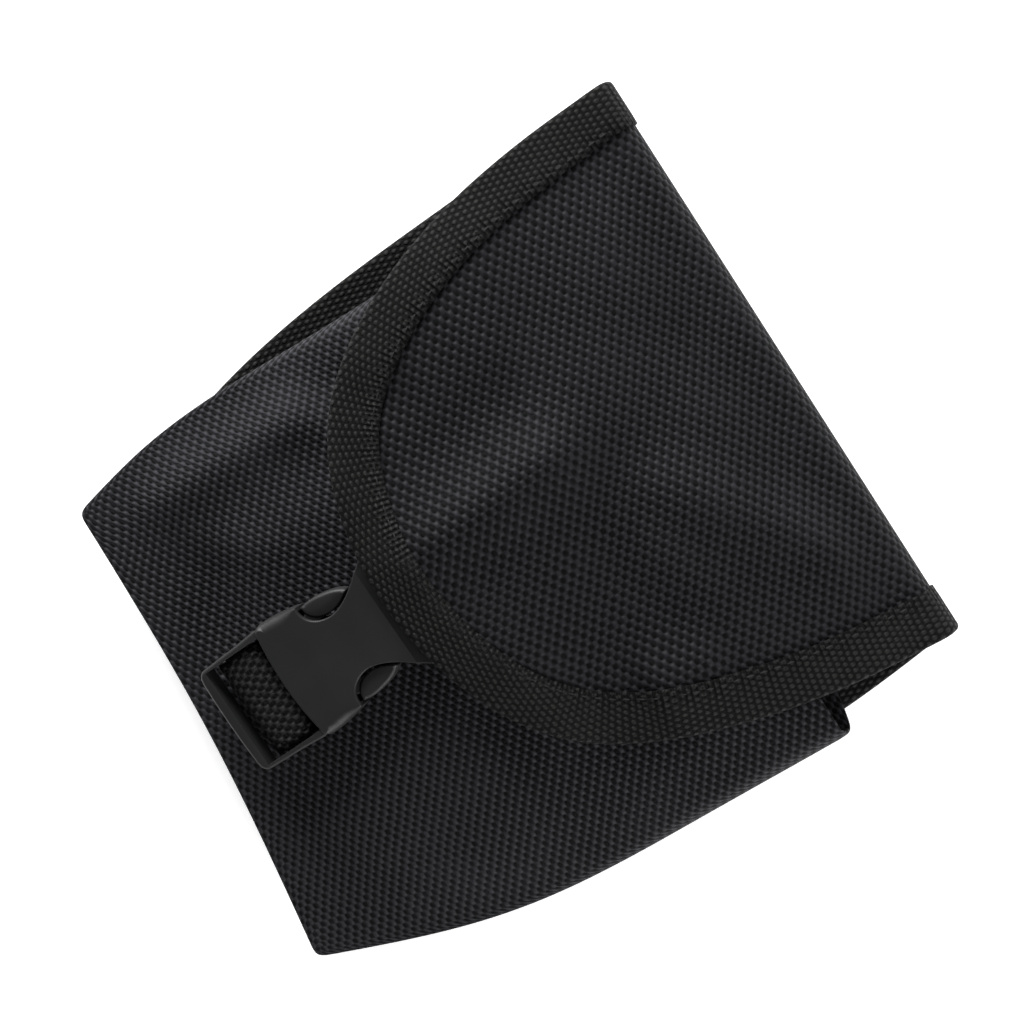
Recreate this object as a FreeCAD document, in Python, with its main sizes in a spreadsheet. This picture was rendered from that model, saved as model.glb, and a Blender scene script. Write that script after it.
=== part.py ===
"""Weight pocket for a dive belt: a boxed nylon pouch with a bound flap, a side-release buckle and
two webbing belt loops on its back. It lies on its back: X runs across the pocket, Y runs from its
bottom towards the fold of the flap, and Z points out of its front. All sizes are millimetres."""

import FreeCAD, Part
import math
import os

import Sketcher
from FreeCAD import Placement, Rotation, Vector

SIZES = (
    # name, value, what it is
    ("frame_x", -5.52, "moves the pocket's centre line to the middle of its outline"),
    ("fold_y", 86.41, "place of the fold line"),
    ("cloth", 1.2, "thickness of the coated nylon"),
    ("tape", 0.8, "thickness of one layer of binding tape"),
    ("tape_width", 12.5, "visible width of the folded binding tape"),
    ("thread", 0.35, "how far a sewn thread stands proud"),
    ("back_z", 6.5, "height of the back panel's outer face"),
    ("fold_y0", -5.2, "centre of the fold's roll, from the fold line"),
    ("fold_half_y", 6.2, "how far the roll stands out from its centre"),
    ("fold_half_z", 9.5, "half the height of the roll"),
    ("mouth_y", -38.2, "the pocket's mouth, below the fold"),
    ("front_z", 35.0, "greatest height of the pocket's front"),
    ("flap_rise", 17.3, "how much higher the flap lies over the pocket than at the fold"),
    ("flap_reach", 85.0, "length over which the flap climbs"),
    ("webbing", 1.4, "thickness of 25 mm webbing"),
    ("webbing_half", 12.5, "half the width of 25 mm webbing"),
    ("loop_x", 36.0, "distance of each belt loop from the centre line"),
    ("loop_y", -80.0, "middle of the belt loops"),
    ("loop_width", 38.0, "width of the belt loop webbing"),
    ("loop_cloth", 1.5, "thickness of the belt loop webbing"),
    ("loop_span", 26.5, "half the free length a belt slides through"),
    ("loop_ramp", 7.0, "length of the loop's slanted ends"),
    ("loop_tab", 13.0, "length of the loop's sewn ends"),
    ("eyelet_y", -143.0, "place of the drain eyelet"),
    ("eyelet_bore", 4.0, "radius of the drain hole"),
    ("eyelet_barrel", 4.7, "radius of the eyelet's barrel"),
    ("eyelet_flange", 8.0, "radius of the eyelet's flange"),
    ("eyelet_metal", 0.7, "thickness of the eyelet's flange and washer"),
    ("buckle_x", 3.6, "outer end of the buckle's frame, across"),
    ("buckle_y", -163.3, "outer end of the buckle's frame, along"),
    ("buckle_z", 20.85, "height of that end's underside"),
    ("buckle_turn", 2.0, "turn of the buckle about Z, degrees"),
    ("buckle_pitch", 14.0, "how far the buckle leans down towards the pocket's bottom, degrees"),
    ("housing_height", 8.8, "thickness of the housing"),
    ("housing_wall", 1.5, "thickness of the housing's plates"),
    ("mouth_nose", 16.8, "middle of the housing's mouth edge"),
    ("mouth_side", 19.0, "sides of the housing's mouth edge"),
    ("mouth_half", 15.4, "half width of the mouth edge"),
    ("cheek_y", 20.8, "widest place of the housing"),
    ("cheek_half", 16.4, "half width there"),
    ("window_y", 36.6, "centre of the side windows"),
    ("window_x", 14.3, "centre of the side windows, across"),
    ("window_r", 6.5, "radius of the side windows"),
    ("waist_y", 42.6, "narrowest place of the housing"),
    ("waist_half", 10.9, "half width there"),
    ("plate_end", 48.4, "end of the housing's top plate"),
    ("tail_y", 50.4, "where the housing reaches its full tail width"),
    ("tail_half", 16.3, "half width of the tail"),
    ("tail_end", 56.0, "end of the housing"),
    ("tail_slot", 13.2, "half width of the webbing slot"),
    ("tail_bar_y", 52.4, "start of the housing's webbing bar"),
    ("tail_bar_low", 2.0, "underside of that bar"),
    ("tail_bar_high", 5.0, "top of that bar"),
    ("cavity_half", 13.6, "half width of the cavity at the mouth"),
    ("cavity_taper", 30.0, "where the cavity starts to narrow"),
    ("cavity_end_half", 8.5, "half width of the cavity's end"),
    ("cavity_end", 44.0, "end of the cavity"),
    ("male_low", 0.4, "underside of the male frame"),
    ("male_high", 8.4, "top of the male frame"),
    ("male_end_half", 15.1, "half width of the frame's outer end"),
    ("male_side_half", 15.6, "half width of the frame beside the housing"),
    ("male_side_end", 18.3, "end of the frame's side walls"),
    ("male_window_half", 13.9, "half width of the frame's window"),
    ("male_window_start", 2.8, "start of the window"),
    ("male_base", 17.2, "end of the window, where the base starts"),
    ("male_base_end", 20.6, "end of the base inside the housing"),
    ("male_base_half", 13.2, "half width of the base inside the housing"),
    ("male_inner_low", 2.0, "underside of all that enters the housing"),
    ("male_inner_high", 6.8, "top of all that enters the housing"),
    ("bar_start", 6.8, "start of the frame's webbing bar"),
    ("bar_end", 14.6, "end of that bar"),
    ("bar_low", 3.4, "underside of that bar"),
    ("bar_high", 5.4, "top of that bar"),
    ("tongue_half", 2.4, "half width of the guide tongue"),
    ("tongue_end", 43.0, "end of the guide tongue"),
    ("prong_in", 6.0, "inner side of a prong at its root"),
    ("prong_out", 8.6, "outer side of a prong at its root"),
    ("prong_gap", 0.3, "gap at the prong's root, where the moulding flexes"),
    ("tab_r", 6.0, "radius of a press tab"),
    ("tab_edge", 14.2, "outer edge of a press tab"),
    ("strap_start", 5.0, "front of the webbing round the frame's bar"),
    ("strap_end", 16.4, "rear of that webbing"),
    ("strap_slack", 0.3, "play between webbing and bar"),
    ("strap_foot", -0.6, "underside of that webbing where it is sewn down"),
    ("flap_strap_end", 90.0, "sewn end of the flap's webbing"),
    ("flap_strap_fall", 0.25, "fall of that webbing in the buckle's frame, which keeps it level"),
)

# Outline of the back panel, from the fold down the left side and up the right (x, y from the fold).
BACK_EDGE = ((-81.6, 0), (-78.6, -38.8), (-76.2, -80), (-71.5, -115), (-63, -145), (-54, -161),
             (-38, -167), (0, -169), (38, -170.5), (60, -166), (71, -147), (79, -115),
             (83.3, -75), (84.8, -35), (82.3, 0))

# Outline of the flap, in the same order.
FLAP_EDGE = ((-81.6, 0), (-77.7, -39.4), (-66.1, -77.6), (-46.7, -103.4), (-17, -115.4),
             (2.4, -116.2), (21.2, -113), (50.5, -97.4), (70.2, -62.7), (77, -38), (82.3, 0))

# The pocket's wall at three heights: its left, bottom and right edges as seen from the front.
FOOT = (((-63.8, -26), (-62.8, -70), (-60.5, -105), (-46, -151)),
        ((-46, -151), (0, -156.5), (52, -156)),
        ((52, -156), (66.5, -108), (69.5, -75), (70.9, -26)))
BELLY = (((-71.5, -26), (-68.3, -80), (-69, -125), (-67.8, -146), (-62.5, -171)),
         ((-62.5, -171), (0, -172.8), (65.8, -181)),
         ((65.8, -181), (83.2, -129), (88.2, -79), (91.2, -26)))
SHOULDER = (((-68, -26), (-62, -80), (-63, -125), (-61, -144), (-54, -161)),
            ((-54, -161), (0, -163), (57, -170.5)),
            ((57, -170.5), (76, -125), (82, -79), (87, -26)))
BELLY_Z = 16.0
SHOULDER_Z = 42.0

doc = FreeCAD.newDocument("weight_pocket")
sheet = doc.addObject("Spreadsheet::Sheet", "Sizes")
for row, (name, value, note) in enumerate(SIZES, start=1):
    sheet.set(f"A{row}", note)
    sheet.set(f"B{row}", str(value))
    sheet.setAlias(f"B{row}", name)
doc.recompute()


def size(name):
    """The number in the sheet's cell of that name."""
    return float(sheet.get(name))


def cell(name):
    """The sheet's cell of that name, for an expression."""
    return f"Sizes.{name}"


# Helpers for sketched sub-parts


def new_body(label):
    body = doc.addObject("PartDesign::Body", label)
    body.Label = label
    return body


def new_sketch(body, name, role, lift="0"):
    """An empty sketch on one of the body's own planes, lifted along the plane's normal."""
    plane = next(f for f in body.Origin.OriginFeatures if f.Role == role)
    sketch = body.newObject("Sketcher::SketchObject", name)
    sketch.AttachmentSupport = [(plane, "")]
    sketch.MapMode = "FlatFace"
    sketch.setExpression("AttachmentOffset.Base.z", lift)
    return sketch


def bind(sketch, kind, geometry, point, expression):
    """Holds one point of the geometry at a distance from the origin that the sheet gives."""
    value = float(sketch.evalExpression(expression))
    index = sketch.addConstraint(Sketcher.Constraint(kind, -1, 1, geometry, point, value))
    sketch.setExpression(f"Constraints[{index}]", expression)


def draw_polygon(sketch, corners):
    """A closed outline of straight lines; each corner is a pair of expressions."""
    first = sketch.GeometryCount
    places = [Vector(*(float(sketch.evalExpression(e)) for e in corner), 0) for corner in corners]
    count = len(corners)
    for index in range(count):
        sketch.addGeometry(Part.LineSegment(places[index], places[(index + 1) % count]), False)
    for index in range(count):
        following = first + (index + 1) % count
        sketch.addConstraint(Sketcher.Constraint("Coincident", first + index, 2, following, 1))
    for index, (across, along) in enumerate(corners):
        bind(sketch, "DistanceX", first + index, 1, across)
        bind(sketch, "DistanceY", first + index, 1, along)


def draw_rectangle(sketch, low_x, low_y, high_x, high_y):
    draw_polygon(sketch, ((low_x, low_y), (high_x, low_y), (high_x, high_y), (low_x, high_y)))


def draw_circle(sketch, across, along, radius):
    place = Vector(float(sketch.evalExpression(across)), float(sketch.evalExpression(along)), 0)
    reach = float(sketch.evalExpression(radius))
    circle = sketch.addGeometry(Part.Circle(place, Vector(0, 0, 1), reach), False)
    bind(sketch, "DistanceX", circle, 3, across)
    bind(sketch, "DistanceY", circle, 3, along)
    index = sketch.addConstraint(Sketcher.Constraint("Radius", circle, reach))
    sketch.setExpression(f"Constraints[{index}]", radius)


def pad(body, sketch, length, both_ways=False):
    feature = body.newObject("PartDesign::Pad", f"{sketch.Name}_pad")
    feature.Profile = sketch
    feature.setExpression("Length", length)
    feature.Midplane = both_ways
    doc.recompute()
    return feature


def pocket(body, sketch, length, both_ways=False):
    """Cuts along +Z of the sketch's plane, and stops the build if it cut nothing."""
    before = body.Shape.Volume
    feature = body.newObject("PartDesign::Pocket", f"{sketch.Name}_pocket")
    feature.Profile = sketch
    feature.setExpression("Length", length)
    feature.Midplane = both_ways
    feature.Reversed = not both_ways
    doc.recompute()
    if body.Shape.Volume > before - 0.01:
        raise RuntimeError(f"{feature.Name} cut nothing")
    return feature


def mirrored(half):
    """A whole outline from its right half, listed from bottom to top."""
    left = [(f"-({across})", along) for across, along in reversed(half)]
    return list(half) + left


def round_edges(body, base, radius, wanted):
    """Rounds the edges of a feature that the test picks out."""
    names = [f"Edge{n}" for n, edge in enumerate(base.Shape.Edges, start=1) if wanted(edge)]
    feature = body.newObject("PartDesign::Fillet", f"{body.Name}_round")
    feature.Base = (base, names)
    feature.Radius = radius
    doc.recompute()
    return feature


def place(item, across="0", along="0", height="0"):
    """Puts a sub-part at its place on the pocket, measured from the fold's middle."""
    item.setExpression("Placement.Base.x", f"{cell('frame_x')} + {across}")
    item.setExpression("Placement.Base.y", f"{cell('fold_y')} + {along}")
    item.setExpression("Placement.Base.z", height)


def place_on_buckle(item):
    """Puts a sub-part in the buckle's own frame: Y runs from the male end to the flap."""
    turn = Rotation(Vector(0, 0, 1), size("buckle_turn"))
    lean = Rotation(Vector(1, 0, 0), size("buckle_pitch"))
    item.Placement = Placement(Vector(), turn.multiply(lean))
    place(item, cell("buckle_x"), cell("buckle_y"), cell("buckle_z"))


# Helpers for cloth sub-parts


def spline(points):
    curve = Part.BSplineCurve()
    curve.interpolate([Vector(*point, 0) for point in points])
    return curve


def inset(points, distance, count=21):
    """The outline moved inwards by a distance, as a new list of points."""
    curve = spline(points)
    moved = []
    for step in range(count):
        at = curve.FirstParameter + (curve.LastParameter - curve.FirstParameter) * step / (count - 1)
        here = curve.value(at)
        along = curve.tangent(at)[0]
        moved.append((here.x - along.y * distance, here.y + along.x * distance))
    return moved


def prism(points, top, low, high):
    """The area inside an outline that is open at the fold, carried up to y = top, as a solid."""
    curve = spline(points)
    start = Vector(*points[0], 0)
    end = Vector(*points[-1], 0)
    corners = [end, Vector(end.x, top, 0), Vector(start.x, top, 0), start]
    lines = [Part.LineSegment(a, b).toShape()
             for a, b in zip(corners, corners[1:]) if (a - b).Length > 1e-6]
    face = Part.Face(Part.Wire([curve.toShape()] + lines))
    solid = face.extrude(Vector(0, 0, high - low))
    solid.translate(Vector(0, 0, low))
    return solid


def height_field(height, low, high, drop):
    """A solid between the surface z = height(x, y) and the same surface moved by drop."""
    steps = 14
    rows = []
    for column in range(steps + 1):
        x = low[0] + (high[0] - low[0]) * column / steps
        row = []
        for step in range(steps + 1):
            y = low[1] + (high[1] - low[1]) * step / steps
            row.append(Vector(x, y, height(x, y)))
        rows.append(row)
    surface = Part.BSplineSurface()
    surface.interpolate(rows)
    return surface.toShape().extrude(Vector(0, 0, drop))


def front_height(x, y):
    """Height of the pocket's front: a pillow that falls towards its mouth, sides and bottom."""
    middle, half_width, peak = 9.4, 78.0, -75.0
    if y > peak:
        along = 4.0 * ((y - peak) / 37) ** 2
    else:
        along = 20.0 * ((peak - y) / 100) ** 1.9
    fall = 5.0 + 8.0 * math.sin(math.pi * max(0.0, -38 - y) / 150)
    return size("front_z") - along - fall * abs((x - middle) / half_width) ** 2.2


def ramp(value, start, end):
    """0 up to start, 1 from end on, and straight between."""
    return min(1.0, max(0.0, (value - start) / (end - start)))


def roll_station(angle):
    """A point (y, z) on the round of the fold; 0 degrees is its outermost point."""
    turned = math.radians(angle)
    top = size("back_z") + size("cloth") / 2
    return (size("fold_y0") + size("fold_half_y") * math.cos(turned),
            top + size("fold_half_z") * (1 + math.sin(turned)))


def flap_station(y):
    """A point (y, z) on the flap's middle line, beyond the round of the fold."""
    start = size("fold_y0") - 2
    left = 1 - ramp(-y, -start, -start + size("flap_reach"))
    top = size("back_z") + size("cloth") / 2 + 2 * size("fold_half_z")
    return (y, top + size("flap_rise") * (1 - left ** 2.2))


def cloth_sheet(stations, low, high):
    """A sheet of cloth through the stations, between two distances from its middle surface. It
    droops towards its sides where it lies over the pocket."""
    columns = [-90 + 180 * step / 12 for step in range(13)]
    grids = []
    for offset in (low, high):
        grid = []
        for x in columns:
            row = []
            for index, (y, z) in enumerate(stations):
                before = stations[max(0, index - 1)]
                after = stations[min(len(stations) - 1, index + 1)]
                along = Vector(0, after[0] - before[0], after[1] - before[1]).normalize()
                droop = 0.2 * ramp(-y, 4, 40) + 0.22 * ramp(-y, 40, 100)
                height = z - droop * (z - 8.5) * abs((x - 2) / 80) ** 2.6
                row.append(Vector(x, y + along.z * offset, height - along.y * offset))
            grid.append(row)
        surface = Part.BSplineSurface()
        surface.interpolate(grid)
        grids.append(surface)
    under, over = grids
    u0, u1, v0, v1 = under.bounds()
    faces = [under.toShape(), over.toShape()]
    for iso, at in (("uIso", u0), ("uIso", u1), ("vIso", v0), ("vIso", v1)):
        edges = [getattr(surface, iso)(at).toShape() for surface in grids]
        faces.append(Part.makeRuledSurface(*edges))
    shell = Part.makeShell(faces)
    shell.sewShape()
    solid = Part.makeSolid(shell)
    if solid.Volume < 0:
        solid.reverse()
    return solid


def flap_sheet(low, high):
    """A layer of the flap, from the fold's outermost line to past its tip."""
    stations = [roll_station(angle) for angle in (2, 22, 45, 65, 80)]
    stations += [flap_station(y) for y in (-10, -16, -24, -34, -46, -60, -76, -92, -108, -124)]
    return cloth_sheet(stations, low, high)


def fold_sheet(low, high):
    """The lower half of the fold, from the back panel up to the fold's outermost line."""
    return cloth_sheet([roll_station(angle) for angle in (-90, -70, -50, -32, -14)], low, high)


def keep(label, shape):
    """Adds a sub-part with a computed shape to the document."""
    item = doc.addObject("Part::Feature", label)
    item.Label = label
    item.Shape = shape
    place(item)
    return item


# Cloth sub-parts


def short_of_fold(shape):
    """The part of a flat piece that lies below the round of the fold."""
    return shape.cut(Part.makeBox(200, 20, 20, Vector(-100, size("fold_y0"), 0)))


def make_back_panel():
    low = size("back_z")
    half = size("cloth") / 2
    panel = short_of_fold(prism(BACK_EDGE, 0, low, low + size("cloth")))
    fold = fold_sheet(-half, half).common(prism(BACK_EDGE, 30, 0, 30))
    drain = Part.makeCylinder(size("eyelet_barrel") + 0.05, 20, Vector(0, size("eyelet_y"), 0))
    return keep("back_panel", panel.fuse(fold).cut(drain))


def back_ring(outer, inner, top, low, high):
    """A band that follows the back panel's edge between two distances from it."""
    ring = prism(inset(BACK_EDGE, outer), top, low, high)
    return ring.cut(prism(inset(BACK_EDGE, inner), 30, low - 1, high + 1))


def make_back_binding():
    low = size("back_z")
    high = low + size("cloth")
    half, tape, band = size("cloth") / 2, size("tape"), size("tape_width")
    at_fold = back_ring(0, band, 30, 0, 30)
    under = short_of_fold(back_ring(0, band, 0, low - tape, low))
    under = under.fuse(fold_sheet(-half - tape, -half).common(at_fold))
    over = short_of_fold(back_ring(0, band, 0, high, high + tape))
    over = over.fuse(fold_sheet(half, half + tape).common(at_fold))
    return keep("back_binding", Part.makeCompound([under, over]))


def make_back_binding_stitching():
    top = size("back_z") + size("cloth") + size("tape")
    band = size("tape_width")
    seam = back_ring(band - 2.2, band - 1.5, 0, top, top + size("thread"))
    return keep("back_binding_stitching", short_of_fold(seam))


def pocket_section(level, height, shrink):
    """The pocket's outline at one height, moved inwards by shrink."""
    left, bottom, right = level
    left = [(x + shrink, y) for x, y in left]
    right = [(x - shrink, y) for x, y in right]
    bottom = [(x, y + shrink) for x, y in bottom]
    bottom[0] = left[-1] = (left[-1][0], bottom[0][1])
    bottom[-1] = right[0] = (right[0][0], bottom[-1][1])
    edges = [spline(side).toShape() for side in (left, bottom, right)]
    edges.append(Part.LineSegment(Vector(*right[-1], 0), Vector(*left[0], 0)).toShape())
    wire = Part.Wire(edges)
    wire.translate(Vector(0, 0, height))
    return wire


def pocket_block(shrink):
    """The solid that the pocket's outer or inner faces enclose."""
    foot_z = size("back_z") + size("cloth")
    levels = ((FOOT, foot_z), (BELLY, BELLY_Z), (SHOULDER, SHOULDER_Z))
    sides = Part.makeLoft([pocket_section(level, z, shrink) for level, z in levels], True, False)
    below = height_field(lambda x, y: front_height(x, y) - shrink, (-95, -195), (105, -10), -45)
    return sides.common(below)


def make_pocket_front():
    shell = pocket_block(0).cut(pocket_block(size("cloth")))
    beyond_mouth = Part.makeBox(260, 60, 80, Vector(-130, size("mouth_y"), 0))
    seam_top = size("back_z") + size("cloth") + size("tape") + size("thread") + 0.1
    seam = back_ring(-10, size("tape_width") + 0.1, 0, 0, seam_top)
    return keep("pocket_front", shell.cut([beyond_mouth, seam]))


def flap_band(layer, outer, inner):
    """The part of a layer of the flap between two distances from its edge."""
    band = layer.common(prism(inset(FLAP_EDGE, outer), 12, 0, 90))
    return band.cut(prism(inset(FLAP_EDGE, inner), 30, -1, 91))


def make_flap_panel():
    half = size("cloth") / 2
    return keep("flap_panel", flap_sheet(-half, half).common(prism(FLAP_EDGE, 10, 0, 90)))


def make_flap_binding():
    half = size("cloth") / 2
    layers = [flap_sheet(*sorted((side * half, side * (half + size("tape"))))) for side in (-1, 1)]
    bands = [flap_band(layer, 0, size("tape_width")) for layer in layers]
    return keep("flap_binding", Part.makeCompound(bands))


def make_flap_binding_stitching():
    low = size("cloth") / 2 + size("tape")
    band = size("tape_width")
    seam = flap_band(flap_sheet(low, low + size("thread")), band - 2.2, band - 1.5)
    return keep("flap_binding_stitching", seam)


# Belt loops and drain


def make_belt_loop(label, side):
    body = new_body(label)
    profile = new_sketch(body, f"{label}_profile", "YZ_Plane")
    span, ramp, tab = cell("loop_span"), cell("loop_ramp"), cell("loop_tab")
    cloth, top = cell("loop_cloth"), cell("back_z")
    half = (
        (f"{span} + 0.5", "0"),
        (f"{span} + {ramp} + 0.5", f"{top} - {cloth}"),
        (f"{span} + {ramp} + {tab}", f"{top} - {cloth}"),
        (f"{span} + {ramp} + {tab}", top),
        (f"{span} + {ramp}", top),
        (span, cloth),
    )
    draw_polygon(profile, mirrored(half))
    pad(body, profile, cell("loop_width"), both_ways=True)
    place(body, f"{side} * {cell('loop_x')}", cell("loop_y"))
    return body


def make_belt_loop_stitching():
    """Two bar tacks across each sewn end of each loop."""
    tab_start = size("loop_span") + size("loop_ramp")
    top = size("back_z") - size("loop_cloth")
    length, width = size("loop_width") - 6, 1.4
    tacks = []
    for side in (-1, 1):
        for end in (-1, 1):
            for offset in (2.5, 9.5):
                y = size("loop_y") + end * (tab_start + offset) - width / 2
                corner = Vector(side * size("loop_x") - length / 2, y, top - size("thread"))
                tacks.append(Part.makeBox(length, width, size("thread"), corner))
    return keep("belt_loop_stitching", Part.makeCompound(tacks))


def make_ring(label, profile):
    """A turned piece round the drain hole; the profile is (radius, height) in expressions."""
    body = new_body(label)
    sketch = new_sketch(body, f"{label}_profile", "XZ_Plane")
    draw_polygon(sketch, profile)
    turned = body.newObject("PartDesign::Revolution", f"{label}_turned")
    turned.Profile = sketch
    axis = next(f for f in body.Origin.OriginFeatures if f.Role == "Z_Axis")
    turned.ReferenceAxis = (axis, [""])
    turned.Angle = 360
    doc.recompute()
    place(body, "0", cell("eyelet_y"))
    return body


def make_drain():
    bore, barrel, flange = cell("eyelet_bore"), cell("eyelet_barrel"), cell("eyelet_flange")
    metal, low = cell("eyelet_metal"), cell("back_z")
    high = f"({low} + {cell('cloth')})"
    eyelet = (
        (bore, f"{low} - {metal}"), (flange, f"{low} - {metal}"), (flange, low), (barrel, low),
        (barrel, f"{high} + {metal} + 0.5"), (bore, f"{high} + {metal} + 0.5"),
    )
    washer = (
        (f"{barrel} + 0.05", high), (flange, high),
        (flange, f"{high} + {metal}"), (f"{barrel} + 0.05", f"{high} + {metal}"),
    )
    return [make_ring("drain_eyelet", eyelet), make_ring("drain_washer", washer)]


# Side-release buckle, in its own frame


def make_buckle_housing():
    body = new_body("buckle_housing")
    height, wall = cell("housing_height"), cell("housing_wall")
    outline = new_sketch(body, "housing_outline", "XY_Plane")
    half = [
        (cell("mouth_half"), cell("mouth_side")),
        (cell("cheek_half"), cell("cheek_y")),
        (f"{cell('window_x')} + 0.9", f"{cell('window_y')} - {cell('window_r')}"),
        (cell("waist_half"), cell("waist_y")),
        (f"{cell('waist_half')} + 1.6", f"{cell('waist_y')} + 3.6"),
        (cell("tail_half"), cell("tail_y")),
        (cell("tail_half"), f"{cell('tail_end')} - 1"),
        (f"{cell('tail_half')} - 1", cell("tail_end")),
    ]
    draw_polygon(outline, mirrored(half) + [("0", cell("mouth_nose"))])
    pad(body, outline, height)

    cavity = new_sketch(body, "housing_cavity", "XY_Plane", wall)
    half = [
        (cell("cavity_half"), "10"),
        (cell("cavity_half"), cell("cavity_taper")),
        (cell("cavity_end_half"), cell("waist_y")),
        (cell("cavity_end_half"), cell("cavity_end")),
    ]
    draw_polygon(cavity, mirrored(half))
    pocket(body, cavity, f"{height} - 2 * {wall}")

    windows = new_sketch(body, "housing_windows", "XY_Plane", "-1")
    for side in ("", "-"):
        draw_circle(windows, side + cell("window_x"), cell("window_y"), cell("window_r"))
    pocket(body, windows, f"{height} + 2")

    slot = new_sketch(body, "housing_slot", "XY_Plane", "-1")
    tail = cell("tail_slot")
    draw_rectangle(slot, f"-{tail}", cell("plate_end"), tail, f"{cell('tail_end')} + 2")
    pocket(body, slot, f"{height} + 2")

    step = new_sketch(body, "housing_step", "XY_Plane", f"{cell('tail_bar_high')} + 0.8")
    draw_rectangle(step, f"-{tail} - 5", cell("tail_bar_y"), f"{tail} + 5", f"{cell('tail_end')} + 2")
    pocket(body, step, height)

    bar = new_sketch(body, "housing_bar", "XY_Plane", cell("tail_bar_low"))
    draw_rectangle(bar, f"-{tail} - 1", cell("tail_bar_y"), f"{tail} + 1", cell("tail_end"))
    solid = pad(body, bar, f"{cell('tail_bar_high')} - {cell('tail_bar_low')}")

    def long_side(edge):
        box = edge.BoundBox
        level = box.ZLength < 0.01 and (box.ZMin < 0.01 or box.ZMax > size("housing_height") - 0.01)
        beside = min(abs(box.XMin), abs(box.XMax)) > size("mouth_half") - 1.6
        return level and beside and size("mouth_side") < box.YMin and box.YMax < size("window_y")

    round_edges(body, solid, 1.8, long_side)
    place_on_buckle(body)
    return body


def make_buckle_frame():
    body = new_body("buckle_frame")
    low, high = cell("male_low"), cell("male_high")
    outline = new_sketch(body, "frame_outline", "XY_Plane", low)
    half = [
        (f"{cell('male_end_half')} - 1.6", "0"),
        (cell("male_end_half"), "1.6"),
        (cell("male_side_half"), cell("male_side_end")),
    ]
    draw_polygon(outline, mirrored(half))
    pad(body, outline, f"{high} - {low}")

    window = new_sketch(body, "frame_window", "XY_Plane", "0")
    half = cell("male_window_half")
    draw_rectangle(window, f"-{half}", cell("male_window_start"), half, f"{cell('male_side_end')} + 2")
    pocket(body, window, f"{high} + 1")

    inner_low = cell("male_inner_low")
    inner_height = f"{cell('male_inner_high')} - {inner_low}"
    base = new_sketch(body, "frame_base", "XY_Plane", inner_low)
    half = [
        (f"{cell('male_window_half')} + 0.5", cell("male_base")),
        (f"{cell('male_window_half')} + 0.5", f"{cell('male_side_end')} - 0.1"),
        (cell("male_base_half"), f"{cell('male_side_end')} - 0.1"),
        (cell("male_base_half"), cell("male_base_end")),
        (cell("tongue_half"), cell("male_base_end")),
        (cell("tongue_half"), f"{cell('tongue_end')} - 1"),
        (f"{cell('tongue_half')} - 1", cell("tongue_end")),
    ]
    draw_polygon(base, mirrored(half))
    pad(body, base, inner_height)

    bar = new_sketch(body, "frame_bar", "XY_Plane", cell("bar_low"))
    half = f"{cell('male_window_half')} + 0.5"
    draw_rectangle(bar, f"-({half})", cell("bar_start"), half, cell("bar_end"))
    solid = pad(body, bar, f"{cell('bar_high')} - {cell('bar_low')}")

    def outer_rim(edge):
        box = edge.BoundBox
        level = box.ZLength < 0.01 and box.ZMax > size("male_high") - 0.01
        outside = box.YMax < 1.7 or abs(box.XMin + box.XMax) / 2 > size("male_end_half") - 0.5
        return level and outside

    round_edges(body, solid, 0.9, outer_rim)
    place_on_buckle(body)
    return body


def make_buckle_prong(label, side):
    """A sprung arm with its press tab; side is an empty sign for the right and a minus for the left."""
    body = new_body(label)
    low = cell("male_inner_low")
    height = f"{cell('male_inner_high')} - {low}"
    tab = new_sketch(body, f"{label}_tab", "XY_Plane", low)
    draw_circle(tab, side + cell("window_x"), cell("window_y"), cell("tab_r"))
    pad(body, tab, height)

    outside = new_sketch(body, f"{label}_outside", "XY_Plane", "0")
    edge = f"{side}{cell('tab_edge')}"
    far = f"{side}30"
    upper = f"{cell('window_y')} + {cell('tab_r')} + 1"
    draw_polygon(outside, (
        (edge, f"{cell('window_y')} - 10"), (edge, f"{cell('window_y')} - 1"),
        (f"{side}({cell('tab_edge')} - 3)", upper), (far, upper), (far, f"{cell('window_y')} - 10"),
    ))
    pocket(body, outside, "20")

    arm = new_sketch(body, f"{label}_arm", "XY_Plane", low)
    root = f"{cell('male_base_end')} + {cell('prong_gap')}"
    draw_polygon(arm, (
        (side + cell("prong_in"), root), (side + cell("prong_out"), root),
        (f"{side}12", f"{cell('window_y')} - 5"), (f"{side}11", cell("window_y")),
        (f"{side}8.8", f"{cell('window_y')} - 1"),
    ))
    pad(body, arm, height)
    place_on_buckle(body)
    return body


def make_front_strap():
    """Webbing sewn to the pocket's front and wrapped round the male frame's bar."""
    body = new_body("front_strap")
    layer, slack = cell("webbing"), cell("strap_slack")
    start, end = cell("strap_start"), cell("strap_end")
    profile = new_sketch(body, "front_strap_profile", "YZ_Plane")
    top = f"{cell('bar_high')} + {slack} + {layer}"
    draw_rectangle(profile, start, cell("strap_foot"), end, top)
    pad(body, profile, f"2 * {cell('webbing_half')}", both_ways=True)
    hole = new_sketch(body, "front_strap_hole", "YZ_Plane")
    draw_rectangle(hole, f"{cell('bar_start')} - {slack}", f"{cell('bar_low')} - {slack}",
                   f"{cell('bar_end')} + {slack}", f"{cell('bar_high')} + {slack}")
    pocket(body, hole, "40", both_ways=True)
    place_on_buckle(body)
    return body


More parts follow.
